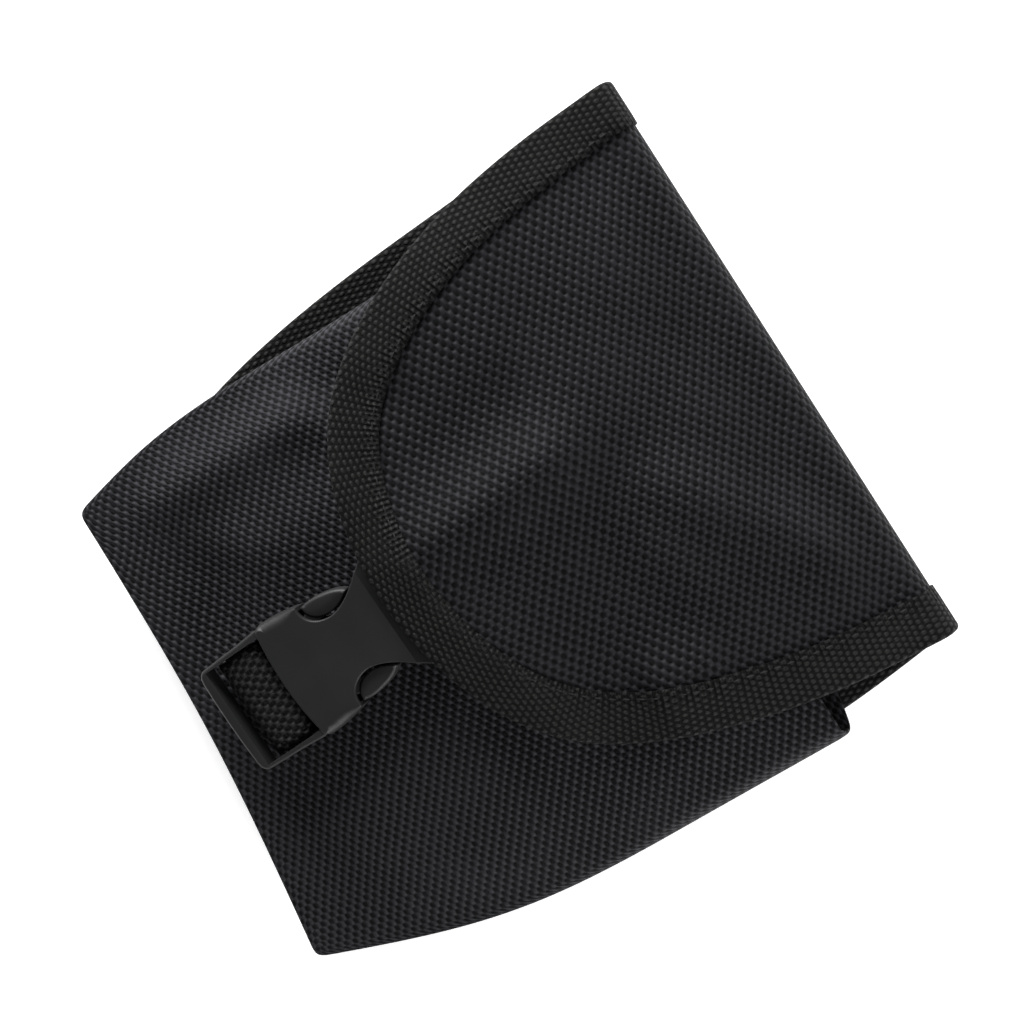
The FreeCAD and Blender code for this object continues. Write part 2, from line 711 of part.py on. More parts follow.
def make_flap_strap():
    """Webbing folded round the housing's bar and sewn under the flap."""
    body = new_body("flap_strap")
    layer, slack = cell("webbing"), cell("strap_slack")
    low = f"{cell('tail_bar_low')} - {slack}"
    high = f"{cell('tail_bar_high')} + {slack}"
    front = f"{cell('tail_bar_y')} - {slack}"
    rear = f"{cell('tail_end')} + {slack}"
    profile = new_sketch(body, "flap_strap_profile", "YZ_Plane")
    end, fall = cell("flap_strap_end"), cell("flap_strap_fall")
    end_fall = f"{fall} * ({end} - {rear})"
    draw_polygon(profile, (
        (f"{front} - {layer}", f"{low} - {layer}"), (f"{rear} + {layer}", f"{low} - {layer}"),
        (f"{rear} + 5", f"{high} - {layer} - 5 * {fall}"), (end, f"{high} - {layer} - {end_fall}"),
        (end, f"{high} + {layer} - {end_fall}"), (rear, f"{high} + {layer}"),
        (f"{front} - {layer}", f"{high} + {layer}"),
    ))
    pad(body, profile, f"2 * {cell('webbing_half')}", both_ways=True)
    hole = new_sketch(body, "flap_strap_hole", "YZ_Plane")
    draw_rectangle(hole, front, low, rear, high)
    pocket(body, hole, "40", both_ways=True)
    place_on_buckle(body)
    return body


def make_flap_strap_stitching():
    """A sewn box on the underside of the flap's webbing, which lies level."""
    depth, across, width = size("thread"), 20.0, 1.0
    lean = math.radians(size("buckle_pitch"))
    underside = size("tail_bar_high") + size("strap_slack") - size("webbing")
    underside -= 5 * size("flap_strap_fall")
    start = size("tail_end") + size("strap_slack") + 5
    low = size("buckle_z") + start * math.sin(lean) + underside * math.cos(lean) - depth - 0.2
    near, far = start * math.cos(lean) + 3, size("flap_strap_end") * math.cos(lean) - 3
    rows = [Part.makeBox(across, width, depth, Vector(-across / 2, y, low)) for y in (near, far)]
    for x in (-across / 2, across / 2 - width):
        rows.append(Part.makeBox(width, far - near - 3, depth, Vector(x, near + 2, low)))
    for row in rows:
        row.rotate(Vector(), Vector(0, 0, 1), size("buckle_turn"))
        row.translate(Vector(size("buckle_x"), size("buckle_y"), 0))
    return keep("flap_strap_stitching", Part.makeCompound(rows))


def make_front_strap_stitching():
    """Two bar tacks inside the pocket, where the male side's webbing is sewn through its front."""
    depth, width, across = size("thread"), 1.4, 20.0
    tacks = []
    for distance in (size("strap_start") + 1, size("strap_end") - 2.4):
        y = size("buckle_y") + distance
        inside = front_height(size("buckle_x"), y) - size("cloth") - depth - 0.5
        tacks.append(Part.makeBox(across, width, depth, Vector(size("buckle_x") - 10, y, inside)))
    return keep("front_strap_stitching", Part.makeCompound(tacks))


def build():
    parts = [
        make_back_panel(),
        make_back_binding(),
        make_back_binding_stitching(),
        make_pocket_front(),
        make_flap_panel(),
        make_flap_binding(),
        make_flap_binding_stitching(),
        make_belt_loop("belt_loop_left", "-1"),
        make_belt_loop("belt_loop_right", "1"),
        make_belt_loop_stitching(),
    ]
    parts += make_drain()
    parts += [
        make_buckle_housing(),
        make_buckle_frame(),
        make_buckle_prong("buckle_prong_left", "-"),
        make_buckle_prong("buckle_prong_right", ""),
        make_front_strap(),
        make_front_strap_stitching(),
        make_flap_strap(),
        make_flap_strap_stitching(),
    ]
    return parts


def check(parts):
    """Stops before anything is written if any object failed or any shape isn't sound."""
    doc.recompute()
    for item in doc.Objects:
        if {"Invalid", "Error"} & set(item.State):
            raise RuntimeError(f"{item.Name} failed: {item.State}")
    for item in parts:
        if item.Shape.isNull() or not item.Shape.isValid() or item.Shape.Volume <= 0:
            raise RuntimeError(f"{item.Label} has no sound shape")


sub_parts = build()
check(sub_parts)
os.makedirs("parts", exist_ok=True)
for sub_part in sub_parts:
    sub_part.Shape.exportStep(f"parts/{sub_part.Label}.step")
    box = sub_part.Shape.BoundBox
    print(f"{sub_part.Label}: {len(sub_part.Shape.Solids)} solids, {sub_part.Shape.Volume:.1f} mm3, "
          f"x {box.XMin:.1f}..{box.XMax:.1f}, y {box.YMin:.1f}..{box.YMax:.1f}, "
          f"z {box.ZMin:.1f}..{box.ZMax:.1f}")
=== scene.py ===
"""A dive weight pocket: its cloth, tape, webbing, thread and moulded buckle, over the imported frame.

Shapes are worked out in millimetres in the pocket's own frame, where x runs across, y from the
fold of the flap (0) down to the bottom (negative) and z out of the front, and are then moved to
the shared frame in metres.
"""
import math

import bmesh
import bpy
import numpy as np
from mathutils import Matrix, Vector


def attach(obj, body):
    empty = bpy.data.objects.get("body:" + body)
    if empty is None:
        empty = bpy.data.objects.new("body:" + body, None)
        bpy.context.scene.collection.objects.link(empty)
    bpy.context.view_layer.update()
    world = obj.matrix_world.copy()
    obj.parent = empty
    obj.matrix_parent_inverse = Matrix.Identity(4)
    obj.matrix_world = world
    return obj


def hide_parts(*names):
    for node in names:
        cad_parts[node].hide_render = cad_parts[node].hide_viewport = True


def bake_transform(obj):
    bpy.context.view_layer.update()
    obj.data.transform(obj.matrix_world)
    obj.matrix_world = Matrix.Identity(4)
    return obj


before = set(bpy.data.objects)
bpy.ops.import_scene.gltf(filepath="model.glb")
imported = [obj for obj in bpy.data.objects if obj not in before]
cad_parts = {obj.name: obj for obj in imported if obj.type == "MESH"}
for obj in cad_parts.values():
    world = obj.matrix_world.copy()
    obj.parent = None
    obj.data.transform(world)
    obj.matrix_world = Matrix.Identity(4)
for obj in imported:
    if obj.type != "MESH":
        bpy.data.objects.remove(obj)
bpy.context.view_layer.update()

MM = 0.001
FRAME_X, FOLD_Y = -5.52, 86.41

# Outlines and heights of the cloth, as in the CAD source.
BACK_EDGE = ((-81.6, 0), (-78.6, -38.8), (-76.2, -80), (-71.5, -115), (-63, -145), (-54, -161),
             (-38, -167), (0, -169), (38, -170.5), (60, -166), (71, -147), (79, -115),
             (83.3, -75), (84.8, -35), (82.3, 0))
FLAP_EDGE = ((-81.6, 0), (-77.7, -39.4), (-66.1, -77.6), (-46.7, -103.4), (-17, -115.4),
             (2.4, -116.2), (21.2, -113), (50.5, -97.4), (70.2, -62.7), (77, -38), (82.3, 0))
FOOT = (((-63.8, -26), (-62.8, -70), (-60.5, -105), (-46, -151)),
        ((-46, -151), (0, -156.5), (52, -156)),
        ((52, -156), (66.5, -108), (69.5, -75), (70.9, -26)))
BELLY = (((-71.5, -26), (-68.3, -80), (-69, -125), (-67.8, -146), (-62.5, -171)),
         ((-62.5, -171), (0, -172.8), (65.8, -181)),
         ((65.8, -181), (83.2, -129), (88.2, -79), (91.2, -26)))
SHOULDER = (((-68, -26), (-62, -80), (-63, -125), (-61, -144), (-54, -161)),
            ((-54, -161), (0, -163), (57, -170.5)),
            ((57, -170.5), (76, -125), (82, -79), (87, -26)))
FOOT_Z, BELLY_Z, SHOULDER_Z = 9.4, 16.0, 42.0
FRONT_Z = 35.0
MOUTH_Y = -38.2
BACK_MID_Z = 7.1
ROLL_Y, ROLL_HALF_Y, ROLL_HALF_Z = -5.2, 6.2, 9.5
FLAP_RISE, FLAP_REACH = 17.3, 85.0
CLOTH, TAPE, TAPE_WIDTH = 0.9, 0.7, 12.5
EYELET_Y, EYELET_BARREL = -143.0, 4.7
LOOP_X, LOOP_Y, LOOP_WIDTH, LOOP_CLOTH = 36.0, -80.0, 38.0, 1.5
BUCKLE_PLACE = (3.6, -163.3, 20.85)
BUCKLE_TURN, BUCKLE_LEAN = math.radians(2.0), math.radians(14.0)
WEBBING, WEBBING_HALF, FLAP_WEBBING_HALF = 1.3, 13.6, 12.8

# The step of the cloth's grid, how far its cut edge lies inside the bound edge, how far the seam
# lies from the tape's inner edge, and the spacing of the tape's puckers. Then a stitch and the
# gap after it.
SHEET_STEP, CUT_INSET, SEAM_INSET, PUCKER_PITCH = 1.5, 2.0, 1.8, 4.3
STITCH, STITCH_GAP = 2.7, 0.9

# Spacing of the yarns in the back and flap's cloth, across it and along it.
YARNS = (1.81, 1.37)


# Lines and numbers


def spline(points, step):
    """Points about a step apart on the smooth line through the given points."""
    points = np.array(points, float)
    length = np.r_[0, np.cumsum(np.linalg.norm(np.diff(points, axis=0), axis=1))]
    gap = np.diff(length)
    count = len(points)
    matrix, right = np.eye(count), np.zeros_like(points)
    for i in range(1, count - 1):
        matrix[i, i - 1:i + 2] = gap[i - 1], 2 * (gap[i - 1] + gap[i]), gap[i]
        right[i] = 6 * ((points[i + 1] - points[i]) / gap[i] - (points[i] - points[i - 1]) / gap[i - 1])
    bend = np.linalg.solve(matrix, right)
    at = np.linspace(0, length[-1], max(3, int(length[-1] / step) + 1))
    i = np.clip(np.searchsorted(length, at, side="right") - 1, 0, count - 2)
    h = gap[i][:, None]
    before, after = (at - length[i])[:, None], (length[i + 1] - at)[:, None]
    return (bend[i] * after ** 3 / (6 * h) + bend[i + 1] * before ** 3 / (6 * h)
            + (points[i] / h - bend[i] * h / 6) * after
            + (points[i + 1] / h - bend[i + 1] * h / 6) * before)


def distances(line):
    """The length along a line of points, at each of them."""
    return np.r_[0, np.cumsum(np.linalg.norm(np.diff(line, axis=0), axis=1))]


def evenly(line, count):
    """The same line with that many points, evenly spaced."""
    length = distances(line)
    at = np.linspace(0, length[-1], count)
    return np.column_stack([np.interp(at, length, line[:, axis]) for axis in range(line.shape[1])])


def ramp(value, start, end):
    """0 up to start, 1 from end on, and straight between."""
    return np.clip((value - start) / (end - start), 0, 1)


def soft(value, start, end):
    """0 up to start, 1 from end on, and smooth between."""
    t = ramp(value, start, end)
    return t * t * (3 - 2 * t)


def crease(x, y, start, end, width, height, lean=0.0):
    """A soft ridge or valley of that height between two points. Lean steepens one of its sides."""
    start, end = np.array(start, float), np.array(end, float)
    along = end - start
    length = np.linalg.norm(along)
    along = along / length
    dx, dy = x - start[0], y - start[1]
    place = (dx * along[0] + dy * along[1]) / length
    off = dx * along[1] - dy * along[0]
    off = off / (width * (1 + lean * np.tanh(off / width)))
    ends = soft(place, -0.25, 0.2) * (1 - soft(place, 0.8, 1.25))
    return height * np.exp(-off ** 2) * ends


def waviness(x, y, size, seed):
    """Smooth irregular unevenness between about -1 and 1, with features of that size."""
    rng = np.random.default_rng(seed)
    total = np.zeros(np.broadcast(x, y).shape)
    for _ in range(7):
        angle, phase = rng.uniform(0, 2 * math.pi, 2)
        wave = 2 * math.pi / (size * rng.uniform(0.7, 1.6))
        total = total + np.sin(wave * (x * math.cos(angle) + y * math.sin(angle)) + phase)
    return total / 4


# Objects


def to_row(points):
    """Pocket millimetres to metres in the shared frame."""
    points = np.asarray(points, float)
    return (points + np.array((FRAME_X, FOLD_Y, 0))) * MM


def new_object(name, vertices, faces, flat=None):
    """A mesh in the shared frame. Flat gives each vertex its place on the flat cloth, in mm."""
    mesh = bpy.data.meshes.new(name)
    mesh.from_pydata(to_row(vertices).tolist(), [], [list(map(int, face)) for face in faces])
    if flat is not None:
        flat = np.asarray(flat, float) * MM
        layer = mesh.uv_layers.new(name="flat")
        index = np.zeros(len(mesh.loops), np.int32)
        mesh.loops.foreach_get("vertex_index", index)
        layer.data.foreach_set("uv", flat[index].astype(np.float32).ravel())
    mesh.polygons.foreach_set("use_smooth", [True] * len(mesh.polygons))
    item = bpy.data.objects.new(name, mesh)
    bpy.context.scene.collection.objects.link(item)
    return item


def grid_faces(rows, columns, closed=False):
    """Faces of a grid whose vertices run along its rows."""
    wrap = columns if closed else columns - 1
    faces = []
    for r in range(rows - 1):
        for c in range(wrap):
            d = (c + 1) % columns
            faces.append((r * columns + c, r * columns + d, (r + 1) * columns + d, (r + 1) * columns + c))
    return faces


def thicken(item, thickness, offset=0.0, inside=None):
    """Gives a sheet its thickness. Inside is the material slot of its hidden face."""
    solid = item.modifiers.new("thickness", "SOLIDIFY")
    solid.thickness = thickness * MM
    solid.offset = offset
    solid.use_even_offset = False
    if inside is not None:
        solid.material_offset = inside
    return item


def subdivide(item, levels):
    """Smooths a coarse mesh, and keeps its flat places right to the edge."""
    smooth = item.modifiers.new("smooth", "SUBSURF")
    smooth.levels = smooth.render_levels = levels
    smooth.uv_smooth = "PRESERVE_BOUNDARIES"
    return item


def normals_of(points):
    """Unit normals of a grid of points (rows, columns, 3)."""
    across = np.gradient(points, axis=1)
    along = np.gradient(points, axis=0)
    normal = np.cross(across, along)
    return normal / np.maximum(np.linalg.norm(normal, axis=2, keepdims=True), 1e-9)


def flat_lengths(points, middle):
    """The flat place of each point of a grid: lengths along its rows from the middle column, and
    along its columns from the first row."""
    across = np.linalg.norm(np.diff(points, axis=1), axis=2)
    u = np.concatenate([np.zeros((len(points), 1)), np.cumsum(across, axis=1)], axis=1)
    u = u - u[:, middle:middle + 1]
    along = np.linalg.norm(np.diff(points, axis=0), axis=2)
    v = np.concatenate([np.zeros((1, points.shape[1])), np.cumsum(along, axis=0)], axis=0)
    return np.stack([u, -v], axis=2)


# Materials


class Shader:
    """A material's node tree, with short calls for its maths."""

    def __init__(self, name):
        self.material = bpy.data.materials.new(name)
        self.material.use_nodes = True
        self.tree = self.material.node_tree
        self.surface = self.tree.nodes["Principled BSDF"]

    def node(self, kind, **settings):
        item = self.tree.nodes.new(kind)
        for key, value in settings.items():
            setattr(item, key, value)
        return item

    def join(self, source, target):
        self.tree.links.new(source, target)

    def feed(self, socket, value):
        if isinstance(value, bpy.types.NodeSocket):
            self.join(value, socket)
        else:
            socket.default_value = value

    def maths(self, operation, a, b=0.0, c=0.0, clamp=False):
        item = self.node("ShaderNodeMath", operation=operation, use_clamp=clamp)
        for socket, value in zip(item.inputs, (a, b, c)):
            self.feed(socket, value)
        return item.outputs[0]

    def smooth(self, value, low, high, to_low=0.0, to_high=1.0):
        item = self.node("ShaderNodeMapRange", interpolation_type="SMOOTHSTEP")
        for key, setting in (("Value", value), ("From Min", low), ("From Max", high),
                             ("To Min", to_low), ("To Max", to_high)):
            self.feed(item.inputs[key], setting)
        return item.outputs[0]

    def noise(self, vector, scale, detail=2.0):
        item = self.node("ShaderNodeTexNoise")
        self.feed(item.inputs["Scale"], scale)
        self.feed(item.inputs["Detail"], detail)
        self.join(vector, item.inputs["Vector"])
        return item.outputs[0]

    def mix(self, share, first, second):
        item = self.node("ShaderNodeMix", data_type="RGBA")
        self.feed(item.inputs[0], share)
        self.feed(item.inputs[6], (*first, 1) if isinstance(first, tuple) else first)
        self.feed(item.inputs[7], (*second, 1) if isinstance(second, tuple) else second)
        return item.outputs[2]

    def bump(self, height, distance, under=None):
        item = self.node("ShaderNodeBump")
        item.inputs["Distance"].default_value = distance * MM
        self.join(height, item.inputs["Height"])
        if under is not None:
            self.join(under, item.inputs["Normal"])
        return item.outputs[0]

    def flat_cloth(self, cell, turn=(0.0, 0.0), drift=0.0):
        """The two numbers of the flat place, counted in cells of the weave. Its two sets of yarns
        lie at those angles to the cloth's own axes."""
        place = self.node("ShaderNodeUVMap", uv_map="flat").outputs[0]
        first, second = math.radians(turn[0]), math.radians(turn[1])
        counts = []
        for direction, size in (((math.cos(first), math.sin(first)), cell[0]),
                                ((-math.sin(second), math.cos(second)), cell[1])):
            item = self.node("ShaderNodeVectorMath", operation="DOT_PRODUCT")
            self.join(place, item.inputs[0])
            item.inputs[1].default_value = (direction[0] / (size * MM), direction[1] / (size * MM), 0)
            count = item.outputs["Value"]
            if drift:
                wander = self.noise(place, 90.0 + 50.0 * len(counts))
                count = self.maths("MULTIPLY_ADD", self.maths("SUBTRACT", wander, 0.5), drift, count)
            counts.append(count)
        return place, counts[0], counts[1]

    def finish(self, colour, roughness, normal):
        self.feed(self.surface.inputs["Base Color"], colour)
        self.feed(self.surface.inputs["Roughness"], roughness)
        if normal is not None:
            self.join(normal, self.surface.inputs["Normal"])
        return self.material


SHINE, SHEEN, SHEEN_ROUGHNESS = 0.1, 0.006, 0.35
CROWN_ROUGHNESS, GAP_ROUGHNESS = 0.58, 0.76
RIPPLE_PITCH, RIPPLE_REACH = 7.9, 7.5


def woven(name, cell, turn, dark, light, depth, drift=0.35, gap=(-0.75, 0.62), blotchy=0.5,
          rib=0.0, pucker=0.0):
    """Plain weave: yarns across lie over in every other cell, and those along it in the rest.
    Rib adds a ridge to every cell, and pucker adds ripples that fade out from the first edge. The
    yarn tops, ridges and ripples included, are painted lighter as painted highlight, and the gaps
    between them darker as painted shade, over a random change of tone."""
    shader = Shader(name)
    place, a, b = shader.flat_cloth(cell, turn, drift)
    wave_a = shader.maths("SINE", shader.maths("MULTIPLY", a, math.pi))
    wave_b = shader.maths("SINE", shader.maths("MULTIPLY", b, math.pi))
    over = shader.maths("MULTIPLY", wave_a, wave_b)
    if rib:
        ribs = shader.maths("COSINE", shader.maths("MULTIPLY", a, 2 * math.pi))
        over = shader.maths("MULTIPLY_ADD", ribs, -rib, over)
    crown = shader.smooth(over, gap[0], gap[1])
    round_top = shader.smooth(over, -0.6, 1.1)
    under = shader.smooth(shader.maths("MULTIPLY", over, -1.0), 0.25, 0.95)
    body = shader.maths("MULTIPLY_ADD", under, 0.22, round_top)
    grain = shader.node("ShaderNodeCombineXYZ")
    shader.join(shader.maths("MULTIPLY", a, 0.9), grain.inputs[0])
    shader.join(shader.maths("MULTIPLY", b, 7.0), grain.inputs[1])
    filaments = shader.noise(grain.outputs[0], 1.0, 1.0)
    height = shader.maths("MULTIPLY_ADD", filaments, 0.2, body)
    if pucker:
        ripples = shader.maths("SINE", shader.maths("MULTIPLY", a, RIPPLE_PITCH))
        near_seam = shader.smooth(b, 0.0, RIPPLE_REACH, pucker, 0.0)
        height = shader.maths("MULTIPLY_ADD", ripples, near_seam, height)
        # The ripples go into the colour too, as painted shade and painted highlight of the puckers.
        crown = shader.maths("MULTIPLY_ADD", ripples, shader.maths("MULTIPLY", near_seam, 0.3), crown)
    cell_noise = shader.noise(place, 700.0, 2.0)
    blotch = shader.noise(place, 55.0, 3.0)
    change = shader.maths("ADD", shader.maths("SUBTRACT", cell_noise, 0.5),
                          shader.maths("SUBTRACT", blotch, 0.5))
    # Painted highlight on the yarn tops and painted shade in the gaps between them, mixed with a random
    # change of tone.
    tone = shader.maths("MULTIPLY_ADD", change, blotchy, crown, clamp=True)
    colour = shader.mix(tone, dark, light)
    rough = shader.smooth(crown, 0.0, 1.0, GAP_ROUGHNESS, CROWN_ROUGHNESS)
    shader.surface.inputs["Specular IOR Level"].default_value = SHINE
    shader.surface.inputs["Sheen Weight"].default_value = SHEEN
    shader.surface.inputs["Sheen Roughness"].default_value = SHEEN_ROUGHNESS
    return shader.finish(colour, rough, shader.bump(height, depth))


def coated(name, colour):
    """The cloth's rubbery inner face, with the weave just showing through."""
    shader = Shader(name)
    place, a, b = shader.flat_cloth(YARNS)
    waves = shader.maths("MULTIPLY", shader.maths("SINE", shader.maths("MULTIPLY", a, math.pi)),
                         shader.maths("SINE", shader.maths("MULTIPLY", b, math.pi)))
    fine = shader.noise(place, 2600.0, 3.0)
    height = shader.maths("MULTIPLY_ADD", fine, 0.5, waves)
    patches = shader.noise(place, 40.0, 4.0)
    tone = shader.mix(patches, tuple(0.75 * c for c in colour), tuple(1.3 * c for c in colour))
    shader.surface.inputs["Specular IOR Level"].default_value = 0.18
    return shader.finish(tone, shader.smooth(patches, 0.3, 0.7, 0.56, 0.7), shader.bump(height, 0.06))


def moulded(name, colour, roughness, specular):
    """Satin moulded plastic or paint, with the faint orange peel of its mould."""
    shader = Shader(name)
    place = shader.node("ShaderNodeTexCoord").outputs["Object"]
    peel = shader.noise(place, 1500.0, 2.0)
    cloud = shader.noise(place, 70.0, 4.0)
    tone = shader.mix(cloud, tuple(0.9 * c for c in colour), tuple(1.12 * c for c in colour))
    rounded = shader.node("ShaderNodeBevel", samples=6)
    rounded.inputs["Radius"].default_value = 0.35 * MM
    normal = shader.bump(peel, 0.012, under=rounded.outputs[0])
    rough = shader.smooth(cloud, 0.3, 0.7, roughness - 0.05, roughness + 0.05)
    shader.surface.inputs["Specular IOR Level"].default_value = specular
    return shader.finish(tone, rough, normal)


def twisted(name, colour):
    """Black bonded thread."""
    shader = Shader(name)
    place = shader.node("ShaderNodeTexCoord").outputs["Object"]
    strands = shader.noise(place, 2400.0, 2.0)
    tone = shader.mix(strands, tuple(0.6 * c for c in colour), tuple(1.5 * c for c in colour))
    shader.surface.inputs["Specular IOR Level"].default_value = 0.25
    return shader.finish(tone, 0.6, shader.bump(strands, 0.08))


# In each weave below, the first colour is the painted shade in the gaps between the yarns and the second
# the painted highlight on their tops.
CLOTH_GAP_SHADE = (0.0005, 0.0005, 0.0008)
CLOTH_OUT = woven("nylon_weave", YARNS, (2.0, 1.0), CLOTH_GAP_SHADE, (0.0178, 0.0178, 0.0209), 0.42)
# The pocket's copy of the nylon is painted lighter than the back and flap's, as painted light on the
# front.
POCKET_OUT_PAINTED_LIGHTER = woven("nylon_weave_pocket_painted_lighter", (1.72, 1.17), (-10.5, 0.5), (0.0022, 0.0022, 0.0027),
                   (0.0275, 0.0275, 0.0318), 0.42)
CLOTH_IN = coated("nylon_coating", (0.007, 0.007, 0.0078))
TAPE_WEAVE = woven("tape_weave", (1.92, 0.78), (0.0, 0.0), (0.0022, 0.0022, 0.0021),
                   (0.0175, 0.0175, 0.017), 0.42, drift=0.4, gap=(-0.6, 0.85), blotchy=0.8,
                   rib=0.45, pucker=0.9)
STRAP_WEAVE = woven("webbing_weave", (1.22, 1.6), (0.0, 0.0), (0.0016, 0.0016, 0.0017),
                    (0.024, 0.024, 0.0243), 0.9, drift=0.9, gap=(-0.6, 0.8), blotchy=1.0)
BELT_WEAVE = woven("belt_webbing_weave", (1.1, 0.75), (0.0, 0.0), (0.003, 0.003, 0.0031),
                   (0.012, 0.012, 0.0125), 0.26, drift=0.25)
PLASTIC = moulded("acetal", (0.0178, 0.0178, 0.0185), 0.48, 0.22)
METAL = moulded("black_coating", (0.018, 0.018, 0.019), 0.35, 0.5)
THREAD = twisted("thread", (0.012, 0.012, 0.0125))


def dress(item, *materials):
    """Gives an object its materials, one slot each."""
    for material in materials:
        item.data.materials.append(material)
    return item


# The cloth of the back and the flap, which is one piece folded over


def roll_point(degrees):
    """A point (y, z) of the round that the cloth makes at the fold."""
    turned = math.radians(degrees)
    return (ROLL_Y + ROLL_HALF_Y * math.cos(turned),
            BACK_MID_Z + ROLL_HALF_Z * (1 + math.sin(turned)))


def flap_line_point(y):
    """A point (y, z) of the flap's own line, which rises from the fold and levels off."""
    start = ROLL_Y - 2
    left = 1 - ramp(-y, -start, -start + FLAP_REACH)
    return (y, BACK_MID_Z + 2 * ROLL_HALF_Z + FLAP_RISE * (1 - left ** 2.2))


BACK_LINE = spline([roll_point(a) for a in (0, -14, -32, -50, -70, -90)]
                   + [(y, BACK_MID_Z) for y in (-7, -12, -20, -40, -80, -120, -150, -180)], 0.5)
FLAP_LINE = spline([roll_point(a) for a in (0, 22, 45, 65, 80)]
                   + [flap_line_point(y)
                      for y in (-10, -16, -24, -34, -46, -60, -76, -92, -108, -124)], 0.5)
BACK_LINE[distances(BACK_LINE) > 24, 1] = BACK_MID_Z
SHEET_V = np.r_[-distances(BACK_LINE)[::-1], distances(FLAP_LINE)[1:]]
SHEET_YZ = np.vstack([BACK_LINE[::-1], FLAP_LINE[1:]])


def flap_folds(x, y):
    """How far the flap's cloth stands off its smooth shape, from how it is creased."""
    lift = crease(x, y, (-6, -106), (-9, -56), 9.0, 4.4)
    lift += crease(x, y, (4, -46), (50, -94), 12, -1.8)
    lift += crease(x, y, (33, -56), (41, -90), 20, -3.4)
    lift += crease(x, y, (-30, -104), (-27, -60), 10, -1.3)
    lift += crease(x, y, (54, -54), (55, -72), 9, 3.4)
    lift += crease(x, y, (54, -10), (10, -44), 10, 3.8)
    lift += crease(x, y, (16, -4), (-22, -22), 9, -1.1)
    lift += crease(x, y, (-70, -46), (-34, -62), 8, 1.1)
    lift += crease(x, y, (-46, -96), (-40, -82), 7, -1.2)
    return lift + 0.45 * waviness(x, y, 34, 3)


def sheet_point(x, v):
    """The place of a point of the back and flap's cloth: x across, and v from the fold's outermost
    line, positive on the flap and negative on the back."""
    x, v = np.broadcast_arrays(np.asarray(x, float), np.asarray(v, float))
    y = np.interp(v, SHEET_V, SHEET_YZ[:, 0])
    z = np.interp(v, SHEET_V, SHEET_YZ[:, 1])
    on_flap = soft(v, 8, 26)
    droop = (0.2 * ramp(-y, 4, 40) + 0.22 * ramp(-y, 40, 100)) * (0.75 + 0.25 * np.tanh(x / 20))
    z = z - (v > 0) * droop * (z - 8.5) * np.abs((x - 2) / 80) ** 2.6
    z = z + on_flap * flap_folds(x, y)
    z = z + soft(-v, 20, 40) * 0.12 * waviness(x, y, 60, 5)
    return np.stack([x, y, z], axis=-1)


def sheet_frame(x, v):
    """Points of the cloth and the unit normals of its outer face."""
    point = sheet_point(x, v)
    across = sheet_point(x + 0.5, v) - sheet_point(x - 0.5, v)
    along = sheet_point(x, v + 0.5) - sheet_point(x, v - 0.5)
    normal = np.cross(along, across)
    return point, normal / np.linalg.norm(normal, axis=-1, keepdims=True)


def sheet_outline():
    """The cloth's cut edge on the flat, once round: down the flap's left side from the fold, up
    its right side, then down the back's right side and up its left."""
    flap = spline(FLAP_EDGE, 1.0)
    back = spline(BACK_EDGE, 1.0)
    flap_v = np.interp(-flap[:, 1], -FLAP_LINE[:, 0], distances(FLAP_LINE))
    start = np.argmax(FLAP_LINE[:, 0] < 0.0)
    flap_v = np.where(flap[:, 1] > -0.5, distances(FLAP_LINE)[start], flap_v)
    back_v = -np.interp(-back[:, 1], -BACK_LINE[:, 0], distances(BACK_LINE))
    low = flap[:, 1] < -1
    lower = back[:, 1] < -1
    around = np.vstack([np.column_stack([flap[low, 0], flap_v[low]]),
                        np.column_stack([back[lower, 0], back_v[lower]])[::-1]])
    around = np.vstack([around, around[:1]])
    return evenly(around, 720)[:-1]


OUTLINE = sheet_outline()


def inward():
    """Unit normals of the outline on the flat, pointing into the cloth."""
    ahead, behind = np.roll(OUTLINE, -3, axis=0), np.roll(OUTLINE, 3, axis=0)
    along = ahead - behind
    normal = np.column_stack([-along[:, 1], along[:, 0]])
    normal /= np.linalg.norm(normal, axis=1, keepdims=True)
    middle = OUTLINE + 3 * normal
    centre = OUTLINE.mean(axis=0)
    if np.mean(np.sum((middle - OUTLINE) * (centre - OUTLINE), axis=1)) < 0:
        normal = -normal
    return normal


INWARD = inward()


def inside(points, edge):
    """Whether each point lies within a closed outline."""
    x, y = points[:, 0], points[:, 1]
    found = np.zeros(len(points), bool)
    for (x0, y0), (x1, y1) in zip(edge, np.roll(edge, -1, axis=0)):
        crosses = (y0 > y) != (y1 > y)
        span = y1 - y0 if y1 != y0 else 1e-9
        found ^= crosses & (x < x0 + (y - y0) * (x1 - x0) / span)
    return found


def make_sheet():
    """The cloth, cut a little inside its bound edge, with the drain's hole in its back."""
    across = np.arange(-88, 90, SHEET_STEP)
    along = np.arange(OUTLINE[:, 1].min() - 2, OUTLINE[:, 1].max() + 2, SHEET_STEP)
    x, v = np.meshgrid(across, along)
    points = sheet_point(x, v).reshape(-1, 3)
    flat = np.column_stack([x.ravel(), v.ravel()])
    faces = np.array(grid_faces(len(along), len(across)))
    middle = flat[faces].mean(axis=1)
    cut_edge = OUTLINE + CUT_INSET * INWARD
    here = points[faces].mean(axis=1)
    drain = (np.hypot(here[:, 0], here[:, 1] - EYELET_Y) < EYELET_BARREL) & (middle[:, 1] < 0)
    faces = faces[inside(middle, cut_edge) & ~drain]
    used = np.unique(faces)
    renumber = np.zeros(len(points), int)
    renumber[used] = np.arange(len(used))
    item = new_object("back_and_flap_cloth", points[used], renumber[faces], flat[used])
    dress(item, CLOTH_IN, CLOTH_OUT)
    thicken(item, CLOTH, 0.0, inside=1)
    return item


def tape_lift(distance):
    """Height of the tape's middle over the cloth's middle, at a distance from the bound edge."""
    return CLOTH / 2 + TAPE / 2 + 0.12 - 0.1 * soft(distance, 9, TAPE_WIDTH)


